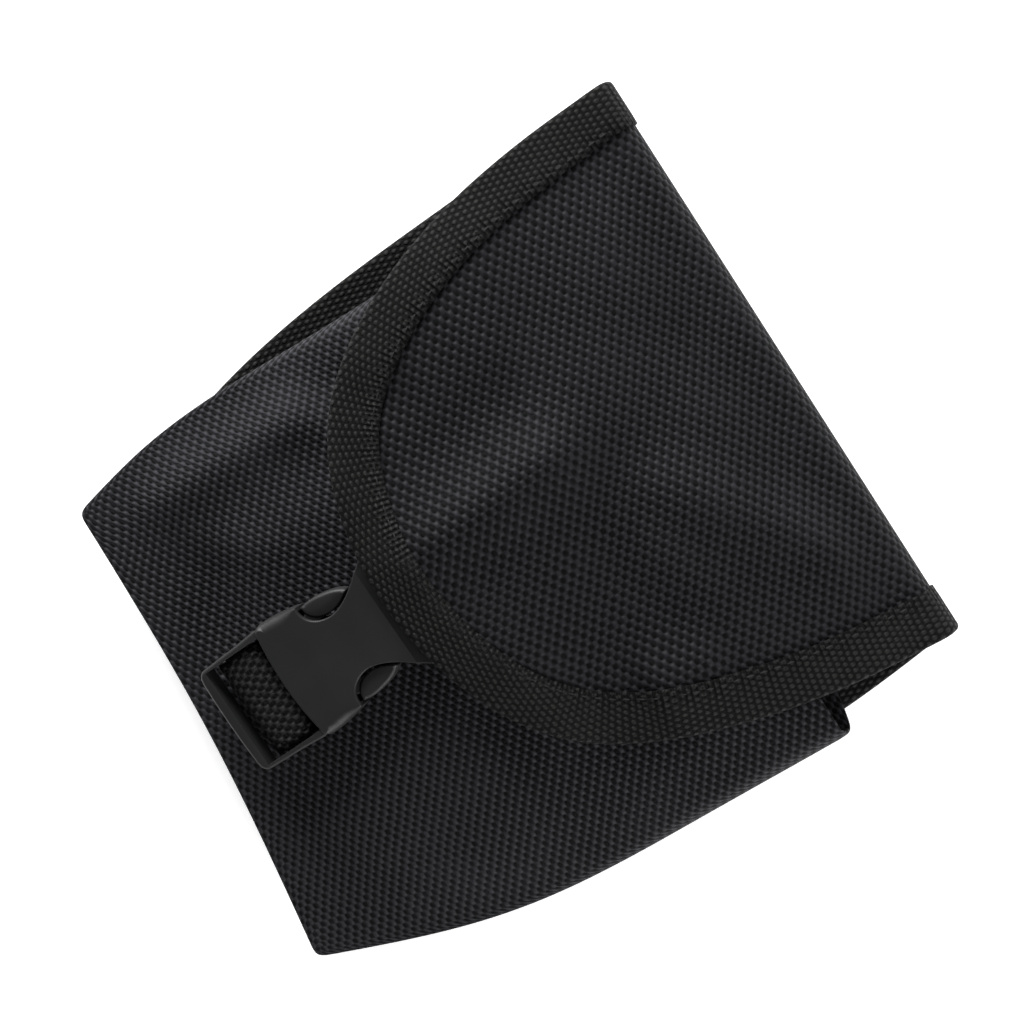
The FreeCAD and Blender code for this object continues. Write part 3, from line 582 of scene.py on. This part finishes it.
def make_binding():
    """Tape folded over the cloth's edge all the way round."""
    half = tape_lift(0)
    inner = np.linspace(TAPE_WIDTH, half, 9)
    turn = np.linspace(90, -90, 7)[1:-1]
    sections = [(d, tape_lift(d)) for d in inner]
    sections += [(half - half * math.cos(math.radians(a)), half * math.sin(math.radians(a)))
                 for a in turn]
    sections += [(d, -tape_lift(d)) for d in inner[::-1]]
    round_length = distances(np.vstack([OUTLINE, OUTLINE[:1]]))
    turning = np.roll(INWARD, -8, axis=0) - np.roll(INWARD, 8, axis=0)
    curl = np.abs(np.sum(turning ** 2, axis=1)) ** 0.5
    run = round_length[:-1]
    rows, flats = [], []
    across = 0.0
    for index, (distance, lift) in enumerate(sections):
        if index:
            across += math.hypot(distance - sections[index - 1][0], lift - sections[index - 1][1])
        place = OUTLINE + distance * INWARD
        point, normal = sheet_frame(place[:, 0], place[:, 1])
        pucker = np.sin(run * 2 * math.pi / PUCKER_PITCH + np.sin(run / 7))
        raised = 0.45 * curl * pucker * soft(distance, 3, TAPE_WIDTH) * np.sign(lift)
        rows.append(point + (lift + raised)[:, None] * normal)
        flats.append(np.column_stack([run, np.full(len(OUTLINE), across)]))
    rows, flats = np.array(rows), np.array(flats)
    rows = np.concatenate([rows, rows[:, :1]], axis=1)
    last = flats[:, :1] + np.array((round_length[-1], 0))
    flats = np.concatenate([flats, last], axis=1)
    faces = grid_faces(rows.shape[0], rows.shape[1])
    item = new_object("binding_tape", rows.reshape(-1, 3), faces, flats.reshape(-1, 2))
    dress(item, TAPE_WEAVE)
    thicken(item, TAPE)
    return item


# The pocket's front


def front_height(x, y):
    """Height of the pocket's front, as in the CAD source but rounded off at its lowest."""
    middle, half_width, peak = 9.4, 78.0, -75.0
    mouth_drop, bottom_drop, side_fall, belly_fall = 4.0, 20.0, 5.0, 8.0
    lowest, rounding = 13.0, 2.0
    upper = mouth_drop * (np.maximum(y - peak, 0) / 37) ** 2
    lower = bottom_drop * (np.maximum(peak - y, 0) / 100) ** 1.9
    fall = side_fall + belly_fall * np.sin(math.pi * np.maximum(0.0, -38 - y) / 150)
    height = FRONT_Z - upper - lower - fall * np.abs((x - middle) / half_width) ** 2.2
    return lowest + np.logaddexp(0, (height - lowest) / rounding) * rounding


def pocket_folds(x, y):
    """How far the front's cloth stands off its smooth shape."""
    lift = crease(x, y, (-47, -84), (-58, -106), 8, -2.4)
    lift += crease(x, y, (-8, -110), (-15, -156), 9, -0.5)
    lift += crease(x, y, (-62, -170), (-12, -166), 14, -3.2)
    lift += crease(x, y, (-33, -146), (-15, -164), 14, -2.0)
    lift += crease(x, y, (-28, -112), (-31, -142), 7, 0.4)
    lift += crease(x, y, (78, -131), (34, -162), 7, 1.3)
    lift += crease(x, y, (52, -96), (66, -70), 8, -1.2)
    lift += crease(x, y, (-55, -104), (-55, -162), 8, 3.2)
    lift += crease(x, y, (-55, -116), (-44, -100), 6, 1.1)
    return lift + 0.4 * waviness(x, y, 32, 11)


def edge_levels(ring, count):
    """One of the wall's three outlines as (left, bottom, right), without what is past the mouth."""
    lines = []
    for index, part in enumerate(ring):
        line = spline(part, 0.5)
        if index != 1:
            line = line[line[:, 1] <= MOUTH_Y + 0.3]
        lines.append(evenly(line, count[index]))
    return lines


def make_pocket():
    """The boxed front: a top with a hem at its mouth, and three walls down to the back."""
    down, across, wall = 34, 38, 7
    left_tuck, right_tuck = 5.0, 6.5
    counts = (down, across, down)
    foot, belly, shoulder = (edge_levels(ring, counts) for ring in (FOOT, BELLY, SHOULDER))
    rims = []
    for low, high in zip(belly, shoulder):
        share = (front_height(low[:, 0], low[:, 1]) - BELLY_Z) / (SHOULDER_Z - BELLY_Z)
        rims.append(low + (high - low) * np.clip(0.35 + share, 0.06, 1)[:, None])

    left, bottom, right = rims[0], rims[1], rims[2][::-1]
    a = np.linspace(0, 1, across)[None, :, None]
    b = np.linspace(0, 1, down)[:, None, None]
    mouth = left[:1] + (right[:1] - left[:1]) * np.linspace(0, 1, across)[:, None]
    plan = ((1 - a) * left[:, None] + a * right[:, None] + (1 - b) * mouth[None] + b * bottom[None]
            - (1 - a) * (1 - b) * left[0] - a * (1 - b) * right[0]
            - (1 - a) * b * left[-1] - a * b * right[-1])
    x, y = plan[..., 0], plan[..., 1]
    to_side = np.minimum(np.linspace(0, 1, across), np.linspace(1, 0, across))[None, :]
    to_bottom = np.linspace(1, 0, down)[:, None]
    z = front_height(x, y) + pocket_folds(x, y) * soft(np.minimum(to_side * 5, to_bottom * 3), 0, 0.5)
    top = np.dstack([x, y, z])

    def wall_rows(part, rim):
        """From the rim down to the foot, as rows of points along the wall."""
        under = foot[part]
        out = belly[part]
        if part == 2:
            under, out = under[::-1], out[::-1]
        level = np.minimum(BELLY_Z, rim[:, 2] - 1.6)
        rows = []
        for step in range(1, wall + 1):
            t = step / wall
            if t < 0.5:
                s = t / 0.5
                flat = rim[:, :2] + (out - rim[:, :2]) * math.sin(s * math.pi / 2)
                height = rim[:, 2] + (level - rim[:, 2]) * (1 - math.cos(s * math.pi / 2)) ** 0.9
            else:
                s = (t - 0.5) / 0.5
                flat = out + (under - out) * s ** 1.3
                height = level + (FOOT_Z - level) * s ** 0.85
            rows.append(np.column_stack([flat, height]))
        return np.array(rows)

    left_wall = wall_rows(0, top[:, 0])
    right_wall = wall_rows(2, top[:, -1])
    bottom_wall = wall_rows(1, top[-1])
    tuck = np.linspace(0, 1, wall)[None, :]
    near_mouth = np.exp(-np.arange(down) / 1.6)[:, None]
    main = np.concatenate([left_wall[::-1].transpose(1, 0, 2), top, right_wall.transpose(1, 0, 2)],
                          axis=1)
    main[:, -wall:, 1] += right_tuck * tuck * near_mouth
    main[:, :wall, 1] += left_tuck * tuck[:, ::-1] * near_mouth

    normal = normals_of(main)
    if normal[down // 2, wall + across // 2, 2] < 0:
        normal = -normal
    outward = main[0] - main[1]
    outward /= np.linalg.norm(outward, axis=1, keepdims=True)
    hem = [main[3] - 1.7 * normal[3], main[1] - 1.7 * normal[1], main[0] - 1.5 * normal[0],
           main[0] - 0.8 * normal[0] + 0.6 * outward]
    main = np.concatenate([np.array(hem), main], axis=0)
    strip = np.concatenate([top[-1:], bottom_wall], axis=0)

    flat_main = flat_lengths(main, wall + across // 2)
    flat_strip = flat_lengths(strip, across // 2)
    flat_strip[..., 0] = flat_main[-1, wall:wall + across, 0]
    flat_strip[..., 1] += flat_main[-1, wall:wall + across, 1]
    faces = grid_faces(*main.shape[:2])
    offset = main.shape[0] * main.shape[1]
    faces += [tuple(i + offset for i in face) for face in grid_faces(*strip.shape[:2])]
    points = np.vstack([main.reshape(-1, 3), strip.reshape(-1, 3)])
    flats = np.vstack([flat_main.reshape(-1, 2), flat_strip.reshape(-1, 2)])
    item = new_object("pocket_cloth", points, faces, flats)
    mesh = bmesh.new()
    mesh.from_mesh(item.data)
    bmesh.ops.remove_doubles(mesh, verts=mesh.verts, dist=0.05 * MM)
    bmesh.ops.recalc_face_normals(mesh, faces=mesh.faces)
    mesh.faces.ensure_lookup_table()
    centre = max(mesh.faces, key=lambda face: face.calc_center_median().z)
    if centre.normal.z < 0:
        bmesh.ops.reverse_faces(mesh, faces=mesh.faces)
    mesh.to_mesh(item.data)
    mesh.free()
    dress(item, POCKET_OUT_PAINTED_LIGHTER, CLOTH_IN)
    subdivide(item, 2)
    thicken(item, CLOTH, -1.0, inside=1)
    return item


# Straps and belt loops


def make_strip(name, path, width, thickness, material, middle=0.0, place=None):
    """Flat webbing that follows a path in (y, z), as wide as that across x."""
    line = spline(path, 0.8)
    length = distances(line)
    across = np.linspace(-width / 2, width / 2, 15)
    rows = np.array([[(middle + x, y, z) for x in across] for y, z in line])
    flats = np.array([[(x, s) for x in across] for s in length])
    points = rows.reshape(-1, 3)
    if place is not None:
        points = place(points)
    item = new_object(name, points, grid_faces(len(line), len(across)), flats.reshape(-1, 2))
    dress(item, material)
    thicken(item, thickness)
    return item


def on_buckle(points):
    """From the buckle's own frame, where y runs from its outer end to the flap, to the pocket's."""
    turn = Matrix.Rotation(BUCKLE_TURN, 3, "Z") @ Matrix.Rotation(BUCKLE_LEAN, 3, "X")
    return np.asarray(points, float) @ np.array(turn).T + np.array(BUCKLE_PLACE)


def make_belt_loop(name, middle):
    """Webbing that lies flat under the back, and is sewn to it above and below the belt."""
    flat = LOOP_CLOTH / 2
    span, slope, tab, raised = 26.5, 7.0, 13.0, 5.75
    half = [(span + slope + tab, raised), (span + slope + 7, raised), (span + slope + 1, raised - 0.1),
            (span + slope / 2, raised / 2 + 0.6), (span - 1, flat + 0.1), (span - 7, flat)]
    half = [(y, z + 0.3) for y, z in half]
    path = [(LOOP_Y + y, z) for y, z in half] + [(LOOP_Y - y, z) for y, z in half[::-1]]
    return make_strip(name, path, LOOP_WIDTH, LOOP_CLOTH, BELT_WEAVE, middle)


def make_front_strap():
    """Webbing that comes out of the pocket's front, goes round the frame's bar and back."""
    path = [(15.95, -0.2), (16.0, 2.0), (15.85, 4.6), (14.4, 6.3), (10.6, 6.6), (6.6, 6.2),
            (5.0, 4.4), (5.2, 2.0), (6.2, 0.2), (9.0, -0.1), (12.0, -0.1)]
    return make_strip("front_webbing", path, 2 * WEBBING_HALF, WEBBING, STRAP_WEAVE, place=on_buckle)


def make_flap_strap():
    """Webbing folded round the housing's bar and sewn under the flap."""
    end, knee, tail = 88.0, 66.0, 57.0
    under, over = 4.15, 5.75
    fall = math.tan(BUCKLE_LEAN)
    path = [(end, under - fall * (end - tail)), (knee, under - fall * (knee - tail)),
            (60.0, 3.0), (56.8, 0.9), (53.9, 0.75), (52.1, 2.2), (52.2, 5.0), (54.0, 6.3),
            (tail, 6.3), (61.0, 5.6), (knee, over - fall * (knee - tail)),
            (end, over - fall * (end - tail))]
    return make_strip("flap_webbing", path, 2 * FLAP_WEBBING_HALF, WEBBING, STRAP_WEAVE,
                      place=on_buckle)


def make_stitches(name, lines, radius=0.27, sunk=0.0):
    """Single stitches along lines of points with normals, each lying just in the surface."""
    vertices, faces = [], []
    sides, rings = 6, ((0.0, 0.35), (0.15, 0.9), (0.5, 1.0), (0.85, 0.9), (1.0, 0.35))
    for line, normals in lines:
        run = distances(line)
        for start in np.arange(STITCH_GAP / 2, run[-1] - STITCH, STITCH + STITCH_GAP):
            near, far = (np.array([np.interp(start + t * STITCH, run, line[:, k]) for k in range(3)])
                         for t in (0, 1))
            up = np.array([np.interp(start + STITCH / 2, run, normals[:, k]) for k in range(3)])
            along = (far - near) / np.linalg.norm(far - near)
            side = np.cross(up, along)
            side /= np.linalg.norm(side)
            first = len(vertices)
            for share, size in rings:
                rise = 0.1 - sunk - 0.9 * radius * (2 * share - 1) ** 2
                middle = near + (far - near) * share + up * rise
                for k in range(sides):
                    angle = 2 * math.pi * k / sides
                    reach = radius * size * (math.cos(angle) * side + math.sin(angle) * up)
                    vertices.append(middle + reach)
            for r in range(len(rings) - 1):
                for k in range(sides):
                    n = (k + 1) % sides
                    faces.append((first + r * sides + k, first + r * sides + n,
                                  first + (r + 1) * sides + n, first + (r + 1) * sides + k))
    item = new_object(name, vertices, faces)
    return dress(item, THREAD)


def binding_seams():
    """The seam along the tape's inner edge, on both faces of the cloth."""
    seams = []
    for face in (1, -1):
        place = OUTLINE + (TAPE_WIDTH - SEAM_INSET) * INWARD
        place = np.vstack([place, place[:1]])
        point, normal = sheet_frame(place[:, 0], place[:, 1])
        up = normal * face
        seams.append((point + up * (tape_lift(TAPE_WIDTH - SEAM_INSET) + TAPE / 2), up))
    return seams


def straight_seam(start, end, up):
    """A straight line of points, and the way each of its stitches faces."""
    line = np.linspace(start, end, 40)
    return line, np.tile(np.array(up, float), (len(line), 1))


def loop_seams():
    """Rows of stitches across the sewn ends of both belt loops."""
    half, level, facing = 16.5, 5.0, (0, 0, -1)
    seams = []
    for middle in (-LOOP_X, LOOP_X):
        left, right = middle - half, middle + half
        for side in (1, -1):
            for reach in (36.2, 44.6):
                y = LOOP_Y + side * reach
                seams.append(straight_seam((left, y, level), (right, y, level), facing))
            low, high = LOOP_Y + side * 36.8, LOOP_Y + side * 44.0
            for x in (left, right):
                seams.append(straight_seam((x, low, level), (x, high, level), facing))
    return seams


# The buckle, in its own frame: y runs from the male end to the flap, and z out of its front


def arc(centre, radius, start, end, count):
    """Points of a round line between two angles in degrees."""
    turn = np.radians(np.linspace(start, end, count))
    return np.column_stack([centre[0] + radius * np.cos(turn), centre[1] + radius * np.sin(turn)])


def both_sides(half):
    """A closed outline from its right half, listed from the male end to the flap."""
    half = np.array(half, float)
    return np.vstack([half, (half * (-1, 1, 1))[::-1]])


def moulding(name, outline, low, high, under=0.5):
    """A flat moulded piece with rounded rims. The outline's third number is the rounding of its
    upper rim there, and under that of its lower rim."""
    outline = np.asarray(outline, float)
    keep = np.linalg.norm(outline - np.roll(outline, 1, axis=0), axis=1) > 1e-3
    outline = outline[keep]
    plan, upper = outline[:, :2], outline[:, 2]
    along = np.roll(plan, -1, axis=0) - np.roll(plan, 1, axis=0)
    inner = np.column_stack([-along[:, 1], along[:, 0]])
    inner /= np.linalg.norm(inner, axis=1, keepdims=True)
    area = np.sum(plan[:, 0] * np.roll(plan[:, 1], -1) - plan[:, 1] * np.roll(plan[:, 0], -1))
    inner *= np.sign(area)
    rings = []
    lower = np.minimum(under, upper)
    for t in (90, 60, 30, 0):
        turn = math.radians(t)
        inset, drop = lower * (1 - math.cos(turn)), lower * (1 - math.sin(turn))
        rings.append(np.column_stack([plan + inset[:, None] * inner, low + drop]))
    for t in (0, 15, 30, 45, 60, 75, 90):
        turn = math.radians(t)
        inset, drop = upper * (1 - math.cos(turn)), upper * (1 - math.sin(turn))
        rings.append(np.column_stack([plan + inset[:, None] * inner, high - drop]))
    count = len(plan)
    faces = grid_faces(len(rings), count, closed=True)
    faces.append(tuple(range(count))[::-1])
    faces.append(tuple(range((len(rings) - 1) * count, len(rings) * count)))
    item = new_object(name, on_buckle(np.vstack(rings)), faces)
    mesh = bmesh.new()
    mesh.from_mesh(item.data)
    bmesh.ops.recalc_face_normals(mesh, faces=mesh.faces)
    mesh.to_mesh(item.data)
    mesh.free()
    return item


def block(low, high, lean=0.0, hinge=(0.0, 0.0)):
    """A plain block in the buckle's frame, as a cutter. It can be turned about a line across the
    buckle at (y, z), and then stands on that line."""
    plan = ((low[0], low[1]), (high[0], low[1]), (high[0], high[1]), (low[0], high[1]))
    corners = np.array([(x, y, z) for z in (low[2], high[2]) for x, y in plan], float)
    if lean:
        turn, (y, z) = math.radians(lean), hinge
        along, up = corners[:, 1] - y, corners[:, 2]
        corners[:, 1] = y + along * math.cos(turn) - up * math.sin(turn)
        corners[:, 2] = z + along * math.sin(turn) + up * math.cos(turn)
    faces = [(3, 2, 1, 0), (4, 5, 6, 7), (0, 1, 5, 4), (1, 2, 6, 5), (2, 3, 7, 6), (3, 0, 4, 7)]
    return new_object("cutter", on_buckle(corners), faces)


def cut(item, cutters, soften=0.25):
    """Cuts pieces out of a moulding, and rounds the edges that leaves."""
    for cutter in cutters:
        change = item.modifiers.new("cut", "BOOLEAN")
        change.object, change.operation, change.solver = cutter, "DIFFERENCE", "EXACT"
        with bpy.context.temp_override(object=item, active_object=item):
            bpy.ops.object.modifier_apply(modifier=change.name)
        bpy.data.objects.remove(cutter)
    return soften_edges(item, soften)


def soften_edges(item, width):
    """Rounds the sharp edges of a moulding by that width."""
    edge = item.modifiers.new("edges", "BEVEL")
    edge.width, edge.segments, edge.limit_method = width * MM, 2, "ANGLE"
    edge.angle_limit = math.radians(50)
    flat = item.modifiers.new("shading", "WEIGHTED_NORMAL")
    flat.keep_sharp = True
    return item


def join_into(item, others):
    """Adds other meshes to a piece."""
    mesh = bmesh.new()
    mesh.from_mesh(item.data)
    for other in others:
        mesh.from_mesh(other.data)
        bpy.data.objects.remove(other)
    mesh.to_mesh(item.data)
    mesh.free()
    return item


def rounded(points, radius, step=0.7):
    """A smooth line through points, each with the same rounding of its rim."""
    line = spline(points, step)
    return [(x, y, radius) for x, y in line]


# The housing's outline along its side window, and both edges of a press tab, all on the right.
# Then the lower and upper face of each moulding.
WINDOW_EDGE = [(14.7, 30.7), (13.0, 30.7), (11.0, 31.4), (9.4, 32.9), (8.4, 35.0), (8.05, 37.0),
               (8.3, 39.3), (9.1, 41.6), (10.3, 43.9), (11.8, 46.2), (13.4, 48.2), (15.0, 50.0),
               (16.3, 51.5)]
TAB_INNER = [(14.0, 31.5), (12.4, 31.6), (10.8, 32.5), (9.6, 34.0), (9.0, 35.6), (8.75, 37.3),
             (9.0, 39.3), (9.7, 41.3), (11.3, 44.1)]
TAB_OUTER = [(11.3, 44.1), (12.9, 41.5), (13.8, 38.5), (14.3, 35.5), (14.3, 33.4), (14.0, 31.5)]
SHELL_LOW, SHELL_HIGH = 0.0, 8.8
CAVITY_LOW, CAVITY_HIGH = 1.5, 7.3
FRAME_LOW, FRAME_HIGH = 0.4, 8.4
ARM_LOW, ARM_HIGH = 2.0, 6.8
TAB_LOW, TAB_HIGH = 1.7, 7.15
BAR_LOW, BAR_HIGH = 3.4, 5.4


def make_housing():
    """The female half: a rounded shell with two side windows, and a flared tail that steps down
    to the webbing's bar."""
    bow = [(x, 17.0 + 1.2 * (x / 14) ** 2, 0.5) for x in (0, 3, 6, 9, 12, 14)]
    corner = [(*p, r) for p, r in zip(arc((14.2, 20.4), 2.2, -70, 0, 6),
                                      (0.6, 0.8, 1.2, 1.8, 2.4, 2.8))]
    side = [(16.35, 22.5, 3.0), (16.1, 24.5, 3.0), (15.75, 26.5, 2.8), (15.4, 28.4, 2.0),
            (15.1, 29.7, 1.1)]
    tail = [(16.3, 54.6, 0.5), (15.9, 55.6, 0.5), (15.0, 56.0, 0.5), (8.0, 56.0, 0.5), (0, 56.0, 0.5)]
    edge = both_sides(bow + corner + side + rounded(WINDOW_EDGE, 0.4) + tail)
    shell = moulding("buckle_housing_moulding", edge, SHELL_LOW, SHELL_HIGH, under=1.2)
    hollow = [(0, 10), (13.6, 10), (13.6, 31), (11.0, 36), (11.0, 44.2), (9.6, 45.2), (0, 45.2)]
    cavity = moulding("cutter", both_sides([(x, y, 0.02) for x, y in hollow]),
                      CAVITY_LOW, CAVITY_HIGH, 0.01)
    slope = block((-18, 48.3, 0), (18, 70, 12), lean=-38, hinge=(48.3, 7.9))
    slot = block((-13.2, 51.2, -1), (13.2, 53.0, 10))
    recess = block((-13.3, 52.8, -1), (13.3, 58, 1.5))
    cut(shell, [cavity, slope, slot, recess])
    return dress(shell, PLASTIC)


def make_male_frame():
    """The male half's frame with its webbing bar, and the base and tongue that enter the housing."""
    outer = [(0, -0.9, 1.0), (6.0, -0.85, 1.0), (11.8, -0.6, 1.0)]
    outer += [(*p, 1.0) for p in arc((12.7, 1.8), 2.2, -78, -5, 6)]
    outer += [(15.1, 6.0, 0.8), (15.35, 12.0, 0.8), (15.9, 18.0, 0.8), (15.6, 19.6, 0.8),
              (0, 19.6, 0.6)]
    rim = moulding("buckle_frame_moulding", both_sides(outer), FRAME_LOW, FRAME_HIGH, under=0.6)
    cut(rim, [block((-13.9, 1.7, -1), (13.9, 25, 10))], 0.5)
    inner = [(0, 18.0, 0.3), (14.4, 18.0, 0.3), (14.4, 20.6, 0.3), (2.4, 20.6, 0.3),
             (2.4, 42.0, 0.6), (1.4, 43.0, 0.6), (0, 43.0, 0.6)]
    base = moulding("base", both_sides(inner), ARM_LOW, ARM_HIGH, 0.3)
    ends = [(-14.2, 6.8, 0.9), (14.2, 6.8, 0.9), (14.2, 14.6, 0.9), (-14.2, 14.6, 0.9)]
    bar = moulding("bar", ends, BAR_LOW, BAR_HIGH, 0.9)
    return dress(join_into(rim, [base, bar]), PLASTIC)


def make_prong(name, side):
    """A sprung arm and its lens-shaped press tab."""
    lens = rounded(TAB_INNER, 0.4)[:-1] + rounded(TAB_OUTER, 1.0)[:-1]
    lens = np.array(lens) * (side, 1, 1)
    tab = moulding(name, lens, TAB_LOW, TAB_HIGH, 0.6)
    arm = np.array([(6.0, 20.9, 0.4), (8.6, 20.9, 0.4), (12.0, 31.6, 0.4), (11.4, 38.0, 0.4),
                    (9.2, 37.0, 0.4)]) * (side, 1, 1)
    arm = moulding("arm", arm, ARM_LOW, ARM_HIGH, 0.4)
    return dress(join_into(tab, [arm]), PLASTIC)


def build_buckle():
    """The four mouldings, each on the body that moves it."""
    pieces = (
        (make_housing(), "flap", "buckle_housing"),
        (make_male_frame(), "buckle_male", "buckle_frame"),
        (make_prong("prong_left_moulding", -1), "prong_left", "buckle_prong_left"),
        (make_prong("prong_right_moulding", 1), "prong_right", "buckle_prong_right"),
    )
    for item, body, node in pieces:
        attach(item, body)
        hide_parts(node)


# Build


def build_soft_parts():
    """Cloth, tape, thread and webbing, and what carries them."""
    cloth = make_sheet()
    binding = make_binding()
    seams = make_stitches("binding_stitches", binding_seams(), radius=0.2, sunk=0.16)
    pocket = make_pocket()
    loops = [make_belt_loop("belt_loop_left_webbing", -LOOP_X),
             make_belt_loop("belt_loop_right_webbing", LOOP_X)]
    loop_stitches = make_stitches("belt_loop_stitches", loop_seams())
    front_strap = make_front_strap()
    flap_strap = make_flap_strap()

    for item in (cloth, binding, seams):
        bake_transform(item)
    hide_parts("back_panel", "flap_panel")
    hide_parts("back_binding", "flap_binding")
    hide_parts("back_binding_stitching", "flap_binding_stitching")

    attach(pocket, "root")
    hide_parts("pocket_front")
    for item, node in zip(loops, ("belt_loop_left", "belt_loop_right")):
        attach(item, "root")
        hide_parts(node)
    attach(loop_stitches, "root")
    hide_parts("belt_loop_stitching")

    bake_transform(front_strap)
    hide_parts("front_strap")
    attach(flap_strap, "flap")
    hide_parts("flap_strap")


def finish_cad_nodes():
    """Materials for the CAD nodes that stay as they are."""
    finishes = {"drain_eyelet": METAL, "drain_washer": METAL, "front_strap_stitching": THREAD,
                "flap_strap_stitching": THREAD}
    for node, material in finishes.items():
        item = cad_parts[node]
        for place in item.material_slots:
            place.material = material
        if not item.material_slots:
            item.data.materials.append(material)


def area_light(name, place, size, power):
    """A soft light at a place, aimed at the object."""
    lamp = bpy.data.lights.new(name, "AREA")
    lamp.shape = "RECTANGLE"
    lamp.size, lamp.size_y = size
    lamp.energy = power
    item = bpy.data.objects.new(name, lamp)
    item.location = place
    item.rotation_euler = (Vector(LIGHT_AIM) - Vector(place)).to_track_quat("-Z", "Y").to_euler()
    bpy.context.scene.collection.objects.link(item)


LIGHT_AIM = (0, 0, 0.02)
FLOOR_REACH, FLOOR_GLOW, SKY = 3.0, 0.55, 0.12


def set_studio():
    """A pale floor, soft light and a camera straight above, turned as the object lies."""
    scene = bpy.context.scene
    mesh = bpy.data.meshes.new("floor")
    corners = [(x * FLOOR_REACH, y * FLOOR_REACH, 0) for x, y in ((-1, -1), (1, -1), (1, 1), (-1, 1))]
    mesh.from_pydata(corners, [], [(0, 1, 2, 3)])
    floor = bpy.data.objects.new("floor", mesh)
    scene.collection.objects.link(floor)
    paint = Shader("floor_paint")
    paint.finish((0.92, 0.92, 0.92, 1), 0.9, None)
    paint.surface.inputs["Emission Color"].default_value = (1, 1, 1, 1)
    paint.surface.inputs["Emission Strength"].default_value = FLOOR_GLOW
    floor.data.materials.append(paint.material)

    world = bpy.data.worlds.new("studio")
    world.use_nodes = True
    background = world.node_tree.nodes["Background"]
    background.inputs["Color"].default_value = (1, 1, 1, 1)
    background.inputs["Strength"].default_value = SKY
    scene.world = world
    area_light("key", (-0.9, 0.16, 0.32), (0.6, 0.6), 22.5)
    area_light("fill", (0.88, -0.02, 0.34), (0.5, 0.6), 8.9)
    area_light("top", (0.25, 0.9, 0.45), (0.7, 0.4), 3.0)

    lens = bpy.data.cameras.new("camera")
    lens.lens, lens.sensor_width = 140.6, 36.0
    camera = bpy.data.objects.new("camera", lens)
    camera.location = to_row((-3.1, -77.7, 1030))
    camera.rotation_euler = (0, 0, math.radians(57.4))
    scene.collection.objects.link(camera)
    scene.camera = camera
    scene.view_settings.view_transform = "Standard"


build_soft_parts()
build_buckle()
finish_cad_nodes()
set_studio()
